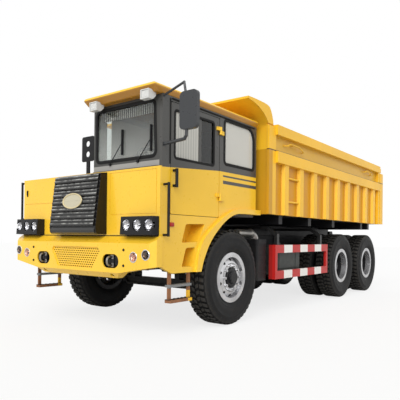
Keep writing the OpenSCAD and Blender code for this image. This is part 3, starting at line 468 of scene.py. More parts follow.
# clear panes: pale blinds in the back, quarter and door ones, haze on the right-hand one, dust on the screen,
# a darker tint painted on part of the side glass as painted shade
pane = {
    "tint": (0.74, 0.78, 0.76), "blind": (0.66, 0.63, 0.56), "fold": (0.42, 0.4, 0.35), "folds": 150,
    "back": (-0.5, 0.9), "side": 1.15, "quarter": (0.2, 0.75), "door": (0.63, 0.75),
    "right": (0.3, 0.99, 0.86), "screen": (1.2, 2.32, 1.86, 0.2), "shady": (0.3, 0.61),
    "shadyTint": (0.25, 0.27, 0.26)}


def windowMaterial(name):
    bsdf, x, y, z = startMaterial(name)
    backX, backShare = pane["back"]
    quarterX, quarterShare = pane["quarter"]
    doorX, doorShare = pane["door"]
    rightY, rightX, rightShare = pane["right"]
    screenX, clearZ, dustyZ, dustyShare = pane["screen"]
    side = above(y, pane["side"])
    ahead = above(x, doorX)
    beside = larger(times(below(x, quarterX), quarterShare), times(ahead, doorShare))
    right = times(below(y, rightY), below(x, rightX))
    dusty = times(above(x, screenX), addRange(z, clearZ, dustyZ, 0, dustyShare))
    haze = larger(times(below(x, backX), backShare), times(side, beside))
    haze = larger(larger(haze, times(right, rightShare)), dusty)
    wave = addRange(addMath("SINE", times(x, pane["folds"])), -1, 1, 0, 1)
    fold = times(wave, times(side, ahead))
    # painted shade: a darker tint on the side glass between these places
    shady = times(side, between(x, *pane["shady"]))
    blind = layOver(shade(pane["blind"]), (fold, pane["fold"]))
    tint = layOver(shade(pane["tint"]), (shady, pane["shadyTint"]))
    glazeWith(bsdf, addMix(haze, tint, blind), opposite(haze), glaze["paneRough"])


# dark outside, pale trim on the walls inside
trim = {
    "pale": (0.6, 0.59, 0.54), "back": -0.545, "right": 0.17, "floor": 1.36, "tones": (0.92, 1.06),
    "gloss": (0.38, 0.5), "shine": 0.35}


def cabFrameMaterial(name):
    bsdf, x, y, z = startMaterial(name)
    inside = times(above(x, trim["back"]), above(y, trim["right"]))
    inside = times(inside, above(z, trim["floor"]))
    slow = cloud(bsdf, paint["drift"])
    color = layOver(addTones(slow, cabGrey, trim["tones"]), (inside, trim["pale"]))
    coverWith(bsdf, color, addRange(slow, 0, 1, *trim["gloss"]), trim["shine"])
    addPeel(bsdf)


# brown rubber straps, a yellow foot at the lower rear and a grey middle rung
ladder = {
    "brown": (0.26, 0.11, 0.045), "yellow": (0.8, 0.45, 0.02), "grey": (0.2, 0.2, 0.2), "footRear": 0.79,
    "footTop": 0.47, "rung": (0.51, 0.55), "wear": 14, "tones": (0.7, 1.2), "gloss": (0.5, 0.75),
    "grain": 120, "relief": 0.1}


def ladderMaterial(name):
    bsdf, x, y, z = startMaterial(name)
    foot = times(below(x, ladder["footRear"]), below(z, ladder["footTop"]))
    rung = between(z, *ladder["rung"])
    worn = cloud(bsdf, ladder["wear"])
    strap = addTones(worn, ladder["brown"], ladder["tones"])
    color = layOver(strap, (foot, ladder["yellow"]), (rung, ladder["grey"]))
    coverWith(bsdf, color, addRange(worn, 0, 1, *ladder["gloss"]))
    addPeel(bsdf, ladder["relief"], ladder["grain"])


# front wheels polished with a black hub; painted shade in the hand holes, in the groove ring and on the
# barrel behind the disc; rear wheels dark inside a pale flange
wheel = {
    "axles": (0.0, -3.515, -4.865), "height": 0.5625, "rearFrom": -1.5, "hub": 0.1275, "flange": 0.236,
    "depth": 0.03, "groove": (0.164, 0.172), "holes": 10, "holeRing": 0.214, "holeSize": 0.0195,
    "steel": (0.52, 0.52, 0.53), "dark": (0.012, 0.012, 0.013), "drum": (0.035, 0.035, 0.037),
    "tones": (1.3, 0.95), "grooveShadeTone": 0.3, "barrelShadeTone": 0.6, "wear": (6, 3), "span": (0.35, 0.7),
    "metal": 0.85, "shine": 0.3, "gloss": (0.24, 0.42), "grain": 110, "relief": 0.05}


def wheelMaterial(name):
    bsdf, x, y, z = startMaterial(name)
    bare, drum, ring = wheel["steel"], wheel["drum"], wheel["holeRing"]
    near = axleDistance(x, z)
    rear = below(x, wheel["rearFrom"])
    inDisc = below(near, wheel["flange"])
    worn = addRange(addNoise(bsdf, *wheel["wear"]), *wheel["span"], 0, 1)
    # painted shade: the groove ring is painted darker
    groove = between(near, *wheel["groove"])
    steel = addMix(groove, addTones(worn, bare, wheel["tones"]), shade(bare, wheel["grooveShadeTone"]))
    # distance from the nearest hand hole, along the ring of holes and across it
    pitch = 2 * math.pi / wheel["holes"]
    turn = addMath("ARCTAN2", addMath("SUBTRACT", z, wheel["height"]), x)
    along = times(addMath("SUBTRACT", addMath("FRACT", times(turn, 1 / pitch)), 0.5), ring * pitch)
    across = addMath("SUBTRACT", near, ring)
    fromHole = addMath("ADD", times(along, along), times(across, across))
    # the hub is black; the hand holes are painted dark as the shade seen through them
    dark = larger(below(near, wheel["hub"]), below(fromHole, wheel["holeSize"] ** 2))
    low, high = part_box("front_left_tyre")
    # painted shade: everything inboard of the disc face is painted dark
    recessShade = below(addMath("ABSOLUTE", y), (low.y + high.y) / 2 + wheel["depth"])
    both = addMix(rear, layOver(steel, (dark, wheel["dark"])), layOver(steel, (inDisc, drum)))
    color = addMix(recessShade, both, shade(drum, wheel["barrelShadeTone"]))
    coverWith(bsdf, color, addRange(worn, 0, 1, *wheel["gloss"]), wheel["shine"])
    painted = larger(times(rear, inDisc), times(opposite(rear), dark))
    feed(bsdf, "Metallic", addRange(larger(painted, recessShade), 0, 1, wheel["metal"], 0))
    addPeel(bsdf, wheel["relief"], wheel["grain"])


# ridged cowl: dark cheeks, greyer ridges with painted highlights as glints along their edges in patches
ridge = {
    "low": 1.14, "pitch": 0.0817, "rows": 10, "edges": ((0.34, 0.5), (0.8, 0.96)), "cheek": 0.382,
    "cheeks": (0.006, 0.006, 0.006), "face": (0.034, 0.034, 0.033), "glintHighlight": (0.36, 0.36, 0.34),
    "glintPatches": (11, 5), "rubbingAndGlint": (0.42, 0.62, 0.1, 0.9), "gloss": (0.16, 0.28), "shine": 0.3}


def grilleMaterial(name):
    bsdf, x, y, z = startMaterial(name)
    low, rows = ridge["low"], ridge["rows"]
    step = addMath("FRACT", addRange(z, low, low + ridge["pitch"] * rows, 0, rows))
    # painted highlights: bands at the ridge edges are painted pale in noisy patches as glints
    edge = larger(*[between(step, *pair) for pair in ridge["edges"]])
    glintMask = times(edge, addRange(addNoise(bsdf, *ridge["glintPatches"]), *ridge["rubbingAndGlint"]))
    cheek = above(addMath("ABSOLUTE", y), ridge["cheek"])
    color = layOver(shade(ridge["face"]), (glintMask, ridge["glintHighlight"]), (cheek, ridge["cheeks"]))
    coverWith(bsdf, color, gloss(bsdf, *ridge["gloss"]), ridge["shine"])


# yellow below the belt line, dark grey above it, two dark stripes behind the door
belt = {
    "points": ((-0.6, 1.812), (0.255, 1.804), (1.25, 1.73)), "stripeEnd": 0.18,
    "stripes": ((1.745, 1.765), (1.663, 1.703)), "hingeOut": 1.1855, "gloss": (0.26, 0.38), "shine": 0.4,
    "coat": 0.15, "relief": 0.02}


def cabSideMaterial(name):
    bsdf, x, y, z = startMaterial(name)
    (xa, za), (xb, zb), (xc, zc) = belt["points"]
    dark = above(z, addMath("ADD", addRange(x, xa, xb, za, zb), addRange(x, xb, xc, 0, zc - zb)))
    behind = below(x, belt["stripeEnd"])
    for low, high in belt["stripes"]:
        dark = larger(dark, times(between(z, low, high), behind))
    dark = times(dark, opposite(above(y, belt["hingeOut"])))
    color = layOver(driftColor(bsdf, yellow), (dark, cabGrey))
    coverWith(bsdf, color, gloss(bsdf, *belt["gloss"]), belt["shine"])
    addCoat(bsdf, belt["coat"])
    addPeel(bsdf, belt["relief"])


# red and white bands along the guard, red end posts, inner faces painted a darker red as painted shade, dark
# arms above it
guard = {
    "front": -0.985, "rear": -2.77, "bands": 7, "post": 0.06, "inner": 1.2, "top": 0.946,
    "red": (0.46, 0.013, 0.01), "white": (0.78, 0.76, 0.72), "innerShadeRed": (0.32, 0.012, 0.01),
    "arm": (0.012, 0.012, 0.012), "gloss": (0.3, 0.45), "relief": 0.05}


def guardMaterial(name):
    bsdf, x, y, z = startMaterial(name)
    front, rear, post = guard["front"], guard["rear"], guard["post"]
    step = above(addMath("FRACT", addRange(x, front, rear, 0, guard["bands"] / 2)), 0.5)
    white = times(step, opposite(larger(above(x, front - post), below(x, rear + post))))
    # painted shade: faces inboard of this width get the darker red
    inner = below(addMath("ABSOLUTE", y), guard["inner"])
    arm = above(z, guard["top"])
    color = layOver(shade(guard["red"]), (white, guard["white"]), (inner, guard["innerShadeRed"]),
                    (arm, guard["arm"]))
    coverWith(bsdf, color, gloss(bsdf, *guard["gloss"]))
    addPeel(bsdf, guard["relief"])


# which finish the CAD nodes wear
axles = (("front", ""), ("mid", "s"), ("rear", "s"))
wheelSets = [(axle + "_" + side, plural) for axle, plural in axles for side in ("left", "right")]
nodeFinishes = {
    "yellowPaint": "front_bumper bumper_grille nose_panel front_fenders engine_hood",
    "bedPaint": "bed_sides bed_front_wall tailgate",
    "bedFloorPaint": "bed_floor",
    "blackPaint": "chassis_frame battery_box front_axle rear_axles front_springs rear_springs "
                  "propeller_shafts left_knuckle right_knuckle tie_rod hoist_barrels deck_guard "
                  "grab_rails door_handle wipers tow_lugs",
    "grilleBlack": "radiator_grille",
    "roofFasciaShadePaint": "cab_roof",
    "blackPlastic": "dashboard",
    "lampCases": "lamp_housings",
    "mirrorShell": "left_mirror",
    "cabFramePaint": "cab_frame",
    "cabFrontPaint": "cab_front",
    "cabSidePaint": "cab_left_side cab_door",
    "wheelPaint": " ".join(corner + "_wheel" + plural for corner, plural in wheelSets),
    "tyreRubber": " ".join(corner + "_tyre" + plural for corner, plural in wheelSets),
    "windowGlass": "cab_glass door_glass",
    "lampGlass": "lamp_lenses",
    "guardPaint": "side_guards",
    "castIron": "engine_block",
    "ladderPaint": "access_ladders",
    "tankPaint": "fuel_tank",
    "pipeSteel": "exhaust",
    "rodChrome": "hoist_rods",
    "seatCloth": "driver_seat",
}


def dressNodes():
    for finish, names in nodeFinishes.items():
        for name in names.split():
            mesh = nodes[name].data
            mesh.materials.clear()
            mesh.materials.append(finishes[finish])
    print("nodes dressed")


# modelling helpers
def clearSelection():
    if bpy.context.object and bpy.context.object.mode != "OBJECT":
        bpy.ops.object.mode_set(mode="OBJECT")
    bpy.ops.object.select_all(action="DESELECT")


def makeActive(obj):
    clearSelection()
    obj.select_set(True)
    bpy.context.view_layer.objects.active = obj


def selectAll():
    bpy.ops.mesh.select_all(action="SELECT")


def editAll():
    bpy.ops.object.mode_set(mode="EDIT")
    bpy.ops.mesh.select_mode(type="VERT")
    selectAll()


def leaveEdit():
    bpy.ops.object.mode_set(mode="OBJECT")
    return bpy.context.object


def faceOutward():
    selectAll()
    bpy.ops.mesh.normals_make_consistent(inside=False)


def moveBy(step):
    bpy.ops.transform.translate(value=step)


def pushOut(step):
    bpy.ops.mesh.extrude_region_move(TRANSFORM_OT_translate={"value": step})


def pickPoints(obj, test):
    editAll()
    bpy.ops.mesh.select_all(action="DESELECT")
    leaveEdit()
    for point in obj.data.vertices:
        point.select = test(point.co)
    bpy.ops.object.mode_set(mode="EDIT")


def applyPlace():
    bpy.ops.object.transform_apply(location=True, rotation=True, scale=True)


# a chain of points drawn by extruding one vertex, left in edit mode
def drawLine(points):
    clearSelection()
    bpy.ops.mesh.primitive_plane_add(size=0.01, location=(0, 0, 0))
    editAll()
    bpy.ops.mesh.merge(type="CENTER")
    moveBy(points[0])
    for a, b in zip(points, points[1:]):
        pushOut((b[0] - a[0], b[1] - a[1], b[2] - a[2]))


def spinLine(points, axis, steps):
    drawLine(points)
    selectAll()
    bpy.ops.mesh.spin(steps=steps, angle=2 * math.pi, center=(0, 0, 0), axis=axis)
    selectAll()
    bpy.ops.mesh.remove_doubles(threshold=0.00005)
    faceOutward()
    return leaveEdit()


# one face over a chain of points, left in edit mode
def drawFace(points, corner=0, segments=1):
    drawLine(points)
    selectAll()
    bpy.ops.mesh.edge_face_add()
    if corner:
        bpy.ops.mesh.bevel(offset=corner, segments=segments, affect="VERTICES")
        selectAll()


def drawPlate(points, push, corner=0, segments=1):
    drawFace(points, corner, segments)
    pushOut(push)
    faceOutward()
    return leaveEdit()


def roundEdges(obj, width, segments=1):
    makeActive(obj)
    editAll()
    bpy.ops.mesh.bevel(offset=width, segments=segments, affect="EDGES", clamp_overlap=True)
    return leaveEdit()


def addBlock(low, high, bevel, segments=2):
    clearSelection()
    size = [b - a for a, b in zip(low, high)]
    middle = [(a + b) / 2 for a, b in zip(low, high)]
    bpy.ops.mesh.primitive_cube_add(size=1, location=middle, scale=size)
    applyPlace()
    return roundEdges(bpy.context.object, bevel, segments)


def copyPiece(obj, move, scale=(1, 1, 1)):
    makeActive(obj)
    bpy.ops.object.duplicate(linked=False)
    twin = bpy.context.object
    twin.scale = scale
    twin.location = move
    applyPlace()
    if scale[0] * scale[1] * scale[2] < 0:
        editAll()
        faceOutward()
        leaveEdit()
    return twin


def joinPieces(pieces):
    makeActive(pieces[0])
    for piece in pieces[1:]:
        piece.select_set(True)
    if len(pieces) > 1:
        bpy.ops.object.join()
    return bpy.context.object


def copyToAll(obj, places, scale=(1, 1, 1)):
    copies = [copyPiece(obj, place, scale) for place in places]
    bpy.data.objects.remove(obj)
    return joinPieces(copies)


# copies turned about the Y axis through the origin
def ringCopies(obj, count):
    clearSelection()
    bpy.ops.object.empty_add(location=(0, 0, 0), rotation=(0, 2 * math.pi / count, 0))
    turner = bpy.context.object
    makeActive(obj)
    ring = obj.modifiers.new("ring", "ARRAY")
    ring.count = count
    ring.use_relative_offset = False
    ring.use_object_offset = True
    ring.offset_object = turner
    bpy.ops.object.modifier_apply(modifier="ring")
    bpy.data.objects.remove(turner)


# a bent round bar along a chain of points
def bendRod(points, radius, corner):
    drawLine(points)
    selectAll()
    bpy.ops.mesh.bevel(offset=corner, segments=4, affect="VERTICES")
    leaveEdit()
    bpy.ops.object.convert(target="CURVE")
    rod = bpy.context.object
    rod.data.bevel_depth = radius
    rod.data.bevel_resolution = 2
    rod.data.use_fill_caps = True
    bpy.ops.object.convert(target="MESH")
    editAll()
    bpy.ops.mesh.remove_doubles(threshold=0.0001)
    faceOutward()
    return leaveEdit()


def smoothOnce(obj):
    smooth = obj.modifiers.new("smooth", "SUBSURF")
    smooth.levels = 1
    smooth.render_levels = 1
    bpy.ops.object.modifier_apply(modifier="smooth")


def finishPiece(obj, name, body, finish, angle):
    makeActive(obj)
    applyPlace()
    bpy.ops.object.shade_smooth_by_angle(angle=math.radians(angle))
    obj.name = name
    obj.data.name = name
    obj.data.materials.clear()
    obj.data.materials.append(finishes[finish])
    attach(obj, body)
    return obj


# road tyres: a spun casing with a rib on its wall, shoulder lugs and two rows of slanted blocks
tyreForm = {
    "steps": 72, "lugs": 46, "halfLug": 0.022, "halfWidth": 0.1575, "bevel": 0.0025, "lugSlant": 0.0096,
    "lugInner": 0.09, "blockSlant": 0.016, "blockOuter": 0.03,
    "wall": (
        (0.257, 0.113), (0.298, 0.113), (0.304, 0.1185), (0.319, 0.127), (0.34, 0.1365), (0.343, 0.1395),
        (0.352, 0.1432), (0.355, 0.1423), (0.373, 0.15), (0.416, 0.157), (0.462, 0.1545), (0.466, 0.156),
        (0.476, 0.1545), (0.479, 0.152), (0.508, 0.143), (0.53, 0.135), (0.543, 0.122), (0.5465, 0.108),
        (0.548, 0.05), (0.548, 0.0)),
    "lug": (
        (0.561, 0.06), (0.5602, 0.108), (0.5545, 0.1235), (0.522, 0.1395), (0.505, 0.1455),
        (0.503, 0.138), (0.53, 0.12), (0.54, 0.06)),
    "block": ((0.545, 0.008), (0.5608, 0.05))}


def buildTyre():
    half = tyreForm["halfLug"]
    wall = [(r, y, 0) for r, y in tyreForm["wall"]]
    ring = wall + [(x, -y, z) for x, y, z in reversed(wall[:-1])] + [wall[0]]
    casing = spinLine(ring, (0, 1, 0), tyreForm["steps"])
    lug = drawPlate([(r, y, -half) for r, y in tyreForm["lug"]], (0, 0, 2 * half))
    roundEdges(lug, tyreForm["bevel"])
    pickPoints(lug, lambda p: p.y < tyreForm["lugInner"])
    moveBy((0, 0, tyreForm["lugSlant"]))
    leaveEdit()
    (lowR, lowY), (highR, highY) = tyreForm["block"]
    block = addBlock((lowR, lowY, -half), (highR, highY, half), tyreForm["bevel"], 1)
    pickPoints(block, lambda p: p.y > tyreForm["blockOuter"])
    moveBy((0, 0, tyreForm["blockSlant"]))
    leaveEdit()
    parts = [casing]
    for piece in (lug, block):
        ringCopies(piece, tyreForm["lugs"])
        other = copyPiece(piece, (0, 0, 0), (1, -1, 1))
        other.rotation_euler = (0, math.pi / tyreForm["lugs"], 0)
        makeActive(other)
        applyPlace()
        parts += [piece, other]
    return joinPieces(parts)


def layTyres():
    model = buildTyre()
    for corner, plural in wheelSets:
        node = corner + "_tyre" + plural
        low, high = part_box(node)
        middle = (low + high) / 2
        sides = {round(low.y + tyreForm["halfWidth"], 4), round(high.y - tyreForm["halfWidth"], 4)}
        tyre = joinPieces([copyPiece(model, (middle.x, y, middle.z)) for y in sorted(sides)])
        finishPiece(tyre, node + "_treaded", corner + "_roller", "tyreRubber", 30)
        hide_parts(node)
    bpy.data.objects.remove(model)
    print("tyres laid:", len(wheelSets))


# round lamps in two sizes: a dished reflector with its bulb, a domed glass, and chrome rings on the bumper
lampForm = {
    "dish": (
        (0.0187, 0), (0.0185, 0.004), (0.017, 0.0085), (0.012, 0.0105), (0.001, 0.0105), (0.002, 0.02),
        (0.007, 0.036), (0.014, 0.048), (0.021, 0.0555), (0.0245, 0.0588)),
    "glass": (
        (0.0245, 0.0588), (0.0275, 0.0583), (0.03, 0.05), (0.0322, 0.03), (0.0332, 0.012), (0.0333, 0)),
    "steps": 28, "head": (1.3135, (0.808, 0.965, 1.123), 1.154), "bumperScale": 0.745,
    "bumper": (1.3485, ((1.101, 0.857), (0.931, 0.83))),
    "bezel": (
        (0.0, 0.0555), (0.0052, 0.0545), (0.0074, 0.0505), (0.0058, 0.0458), (0.0, 0.0452), (0.0, 0.0555)),
    "bezelX": 1.3615, "bezelSteps": 32}


def spinLamp(profile, steps):
    return spinLine([(x, r, 0) for x, r in lampForm[profile]], (1, 0, 0), steps)


def layLamps():
    headX, headY, headZ = lampForm["head"]
    headPlaces = [(headX, s * y, headZ) for y in headY for s in (1, -1)]
    bumpX, bumpers = lampForm["bumper"]
    bumpPlaces = [(bumpX, s * y, z) for y, z in bumpers for s in (1, -1)]
    size = lampForm["bumperScale"]
    sets = (("head_lamp_dish", "dish", "lampDish", headPlaces, 1),
            ("head_lamp_glass", "glass", "lampGlass", headPlaces, 1),
            ("bumper_lamp_dark_dish", "dish", "darkDish", bumpPlaces[:2], size),
            ("bumper_lamp_warm_dish", "dish", "warmDish", bumpPlaces[2:], size),
            ("bumper_lamp_glass", "glass", "lampGlass", bumpPlaces, size))
    for name, profile, finish, places, scale in sets:
        lamp = copyToAll(spinLamp(profile, lampForm["steps"]), places, (scale,) * 3)
        finishPiece(lamp, name, "chassis", finish, 40)
        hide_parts("lamp_lenses")
    ring = spinLamp("bezel", lampForm["bezelSteps"])
    ring = copyToAll(ring, [(lampForm["bezelX"], y, z) for x, y, z in bumpPlaces])
    finishPiece(ring, "bumper_lamp_rings", "chassis", "brightChrome", 40)


# square lamps: a ribbed face set in each housing, with its ribs on the front or the back
squareLamps = {
    "visor": {
        "finish": "whitePlastic", "x": (1.365, 1.3735), "y": ((0.2555, 0.3505), (1.0255, 1.1205)),
        "z": (2.398, 2.472), "ribs": 7, "inset": (0, 0.003)},
    "stop": {
        "finish": "redPlastic", "x": (-5.4694, -5.4576), "y": ((0.802, 0.947), (-0.947, -0.802)),
        "z": (0.859, 0.921), "ribs": 8, "inset": (0.003, 0)},
    "turn": {
        "finish": "amberPlastic", "x": (-5.4694, -5.4576), "y": ((0.713, 0.799), (-0.799, -0.713)),
        "z": (0.859, 0.921), "ribs": 5, "inset": (0.003, 0)}}
rib = {"margin": 0.006, "start": 0.2, "share": 0.6, "faceBevel": 0.002, "ribBevel": 0.0012}


def laySquareLamps():
    margin = rib["margin"]
    for kind, form in squareLamps.items():
        (x0, x1), (z0, z1), (backIn, frontIn) = form["x"], form["z"], form["inset"]
        parts = []
        for low, high in form["y"]:
            parts.append(addBlock((x0 + backIn, low, z0), (x1 - frontIn, high, z1), rib["faceBevel"], 1))
            step = (high - low - 2 * margin) / form["ribs"]
            for i in range(form["ribs"]):
                y = low + margin + step * (i + rib["start"])
                parts.append(addBlock((x0, y, z0 + margin), (x1, y + step * rib["share"], z1 - margin),
                                      rib["ribBevel"], 1))
        lamp = finishPiece(joinPieces(parts), kind + "_lamp_faces", "chassis", form["finish"], 30)
        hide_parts("lamp_lenses")
    print("lamps laid")


# plain oval plate on the grille: a raised rim round a slightly crowned bare face; insets with their rise
badge = {
    "half": (0.17, 0.088, 1), "sides": 56, "place": (1.4018, 0, 1.4246), "lean": -7, "rimWidth": 0.015,
    "rimHeight": 0.005, "rimLip": (0.003, 0.002), "crown": ((0.02, 0.001), (0.03, 0.0012))}


def insetRise(width, rise):
    bpy.ops.mesh.inset(thickness=width)
    moveBy((0, 0, rise))


def layBadge():
    clearSelection()
    bpy.ops.mesh.primitive_circle_add(vertices=badge["sides"], radius=1, fill_type="NGON", location=(0, 0, 0))
    plate = bpy.context.object
    plate.scale = badge["half"]
    applyPlace()
    rim = copyPiece(plate, (0, 0, 0))
    makeActive(rim)
    editAll()
    bpy.ops.mesh.inset(thickness=badge["rimWidth"])
    bpy.ops.mesh.delete(type="FACE")
    selectAll()
    pushOut((0, 0, badge["rimHeight"]))
    insetRise(*badge["rimLip"])
    faceOutward()
    leaveEdit()
    makeActive(plate)
    editAll()
    for width, rise in badge["crown"]:
        insetRise(width, rise)
    leaveEdit()
    for piece, name, finish in ((rim, "badge_rim", "goldTrim"), (plate, "badge_face", "badgePlate")):
        makeActive(piece)
        piece.rotation_euler = (math.radians(90), 0, math.radians(90))
        applyPlace()
        piece.rotation_euler = (0, math.radians(badge["lean"]), 0)
        piece.location = badge["place"]
        applyPlace()
        finishPiece(piece, name, "chassis", finish, 40)


# rubber seals round the panes: body, axis across the pane, seat, push, corner radius, width, pane corners
paneSeals = {
    "windscreen_seal": ("chassis", "x", 1.2172, 0.0158, 0.075, 0.034,
                        ((0.180, 1.832), (1.116, 1.832), (1.092, 2.432), (0.180, 2.432))),
    "quarter_seal": ("chassis", "y", 1.1732, 0.0148, 0.062, 0.034,
                     ((-0.518, 1.882), (0.174, 1.882), (0.174, 2.434), (-0.428, 2.434), (-0.518, 2.322))),
    "door_seal": ("door", "y", 1.1732, 0.0132, 0.046, 0.026,
                  ((0.349, 1.836), (1.056, 1.83), (1.056, 2.346), (0.349, 2.356))),
    "right_seal": ("chassis", "y", 0.166, -0.019, 0.066, 0.034,
                   ((-0.428, 1.872), (1.088, 1.852), (1.088, 2.408), (-0.428, 2.408))),
    "back_seal": ("chassis", "x", -0.5435, -0.0195, 0.066, 0.034,
                  ((0.322, 1.872), (0.972, 1.872), (0.972, 2.388), (0.322, 2.388))),
}
sealLip = {"segments": 6, "inset": 0.006, "rise": 0.15}


def laySeals():
    for name, (body, axis, seat, push, corner, width, corners) in paneSeals.items():
        if axis == "x":
            points = [(seat, a, b) for a, b in corners]
            step = (push, 0, 0)
        else:
            points = [(a, seat, b) for a, b in corners]
            step = (0, push, 0)
        drawFace(points, corner, sealLip["segments"])
        bpy.ops.mesh.select_mode(type="FACE")
        selectAll()
        bpy.ops.mesh.inset(thickness=width)
        bpy.ops.mesh.delete(type="FACE")
        selectAll()
        pushOut(step)
        bpy.ops.mesh.inset(thickness=sealLip["inset"])
        moveBy([v * sealLip["rise"] for v in step])
        faceOutward()
        finishPiece(leaveEdit(), name, body, "softRubber", 50)
    print("seals laid:", len(paneSeals))


# driver's seat: a pedestal of folds with necks between them, and three crowned pads (low, high, lean)
seatForm = {
    "middle": 0.66,
    "pads": {
        "seat_cushion": ((0.0, -0.24, 1.575), (0.515, 0.24, 1.675), 3),
        "seat_back": ((-0.055, -0.225, 1.66), (0.035, 0.225, 2.165), -11),
        "seat_headrest": ((-0.135, -0.12, 2.175), (-0.075, 0.12, 2.372), -4)},
    "padBevel": 0.02, "folds": 5, "pedestal": ((0.05, -0.16, 1.345), (0.43, 0.16, 1.565)), "foldTop": 0.8,
    "neckFoot": 0.75, "neckIn": 0.02, "foldBevel": 0.012, "neckBevel": 0.004}


# corners moved to the seat's middle line
def atSeat(corner):
    return (corner[0], seatForm["middle"] + corner[1], corner[2])


def laySeat():
    (x0, y0, z0), (x1, y1, z1) = [atSeat(corner) for corner in seatForm["pedestal"]]
    step = (z1 - z0) / seatForm["folds"]
    inset = seatForm["neckIn"]
    folds = []
    for i in range(seatForm["folds"]):
        folds.append(addBlock((x0, y0, z0 + i * step), (x1, y1, z0 + (i + seatForm["foldTop"]) * step),
                              seatForm["foldBevel"]))
        folds.append(addBlock((x0 + inset, y0 + inset, z0 + (i + seatForm["neckFoot"]) * step),
                              (x1 - inset, y1 - inset, z0 + (i + 1) * step), seatForm["neckBevel"], 1))
    base = finishPiece(joinPieces(folds), "seat_pedestal", "chassis", "softRubber", 40)
    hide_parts("driver_seat")
    for name, (low, high, lean) in seatForm["pads"].items():
        low, high = atSeat(low), atSeat(high)
        pad = addBlock(low, high, seatForm["padBevel"])
        middle = [(a + b) / 2 for a, b in zip(low, high)]
        fillPad(pad)
        makeActive(pad)
        editAll()
        bpy.ops.transform.rotate(value=math.radians(lean), orient_axis="Y", center_override=middle)
        leaveEdit()
        finishPiece(pad, name, "chassis", "seatCloth", 60)
        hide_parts("driver_seat")
    print("seat laid")


# swells a block into a crowned pad by a short cloth run, with each point's move capped
padForm = {"voxel": 0.014, "pressure": 4.0, "stiffness": 30, "frames": 14, "cap": 0.016}


def fillPad(pad):
    makeActive(pad)
    skin = pad.modifiers.new("skin", "REMESH")
    skin.mode = "VOXEL"
    skin.voxel_size = padForm["voxel"]
    bpy.ops.object.modifier_apply(modifier="skin")
    start = [v.co.copy() for v in pad.data.vertices]
    cloth = pad.modifiers.new("cloth", "CLOTH")
    cloth.settings.use_pressure = True
    cloth.settings.uniform_pressure_force = padForm["pressure"]
    cloth.settings.effector_weights.gravity = 0
    cloth.settings.tension_stiffness = padForm["stiffness"]
    cloth.settings.compression_stiffness = padForm["stiffness"]
    cloth.collision_settings.use_collision = False
    scene = bpy.context.scene
    scene.frame_start = 1
    scene.frame_end = padForm["frames"]
    for i in range(1, padForm["frames"] + 1):
        scene.frame_set(i)
    bpy.ops.object.modifier_apply(modifier="cloth")
    scene.frame_set(1)
    for point, place in zip(pad.data.vertices, start):
        move = point.co - place
        if move.length > padForm["cap"]:
            point.co = place + move * (padForm["cap"] / move.length)
    smoothOnce(pad)


# short pleated curtain on a rod behind the top of the windscreen
curtain = {
    "x": 1.172, "y": (0.25, 1.07), "z": (2.30, 2.408), "pleats": 26, "rows": 6, "depth": 0.026,
    "shorter": 0.008, "lower": 0.006, "rod": 0.006, "rodPast": 0.02, "rodEnd": 0.025, "rodCorner": 0.012}


def layCurtain():
    x, (y0, y1), (z0, z1) = curtain["x"], curtain["y"], curtain["z"]
    left, right, top = y0 - curtain["rodPast"], y1 + curtain["rodPast"], z1 + curtain["rodEnd"]
    rod = bendRod([(x, left, top), (x, left, z1), (x, right, z1), (x, right, top)], curtain["rod"],
                  curtain["rodCorner"])
    finishPiece(rod, "curtain_rod", "chassis", "brightChrome", 60)
    clearSelection()
    columns = curtain["pleats"] * 2
    drop = z1 - z0 - curtain["shorter"]
    bpy.ops.mesh.primitive_grid_add(x_subdivisions=columns, y_subdivisions=curtain["rows"], size=1,
                                    location=(0, 0, 0))
    cloth = bpy.context.object
    cloth.scale = (y1 - y0, drop, 1)
    applyPlace()
    cloth.rotation_euler = (math.radians(90), 0, math.radians(90))
    cloth.location = (x, (y0 + y1) / 2, (z0 + z1) / 2 - curtain["lower"])
    applyPlace()
    pitch = (y1 - y0) / columns
    pickPoints(cloth, lambda p: round((p.y - y0) / pitch) % 2 == 1)
    moveBy((curtain["depth"], 0, 0))
    leaveEdit()
    smoothOnce(cloth)
    finishPiece(cloth, "sun_curtain", "chassis", "curtainCloth", 60)
    print("curtain hung")


# tarp hooks on the bed side: two bent bars a place, with their ends along the bed and their heights
hook = {
    "side": 1.289, "out": 1.34, "radius": 0.009, "foot": 0.03, "corner": 0.02,
    "bars": (
        (-1.1, -1.36, 2.30, 2.34), (-1.3, -1.66, 2.335, 2.285), (-4.3, -4.5, 2.32, 2.35),
        (-4.46, -4.72, 2.345, 2.30))}


def layHooks():
    bars = []
    foot = hook["foot"]
    for side in (1, -1):
        wall, out = side * hook["side"], side * hook["out"]
        for xa, xb, za, zb in hook["bars"]:
            points = [(xa, wall, za), (xa - foot, out, za), ((xa + xb) / 2, out, max(za, zb)),
                      (xb + foot, out, zb), (xb, wall, zb)]
            bars.append(bendRod(points, hook["radius"], hook["corner"]))
    finishPiece(joinPieces(bars), "tarp_hooks", "bed", "bedPaint", 50)


# hexagon bolts on washers, looking forward: sides, radius, foot, height and bevel of each, and their places
boltForm = {
    "head": (6, 0.01, 0.003, 0.009, 0.0015), "washer": (20, 0.0145, 0, 0.003, 0.001),
    "bumper": ((1.362, 0.79, 0.9), (1.362, 0.79, 0.74), (1.362, -0.79, 0.9), (1.362, -0.79, 0.74))}


def addDisc(sides, radius, foot, height, bevel):
    clearSelection()
    bpy.ops.mesh.primitive_cylinder_add(vertices=sides, radius=radius, depth=height,
                                        location=(foot + height / 2, 0, 0), rotation=(0, math.radians(90), 0))
    applyPlace()
    return roundEdges(bpy.context.object, bevel)


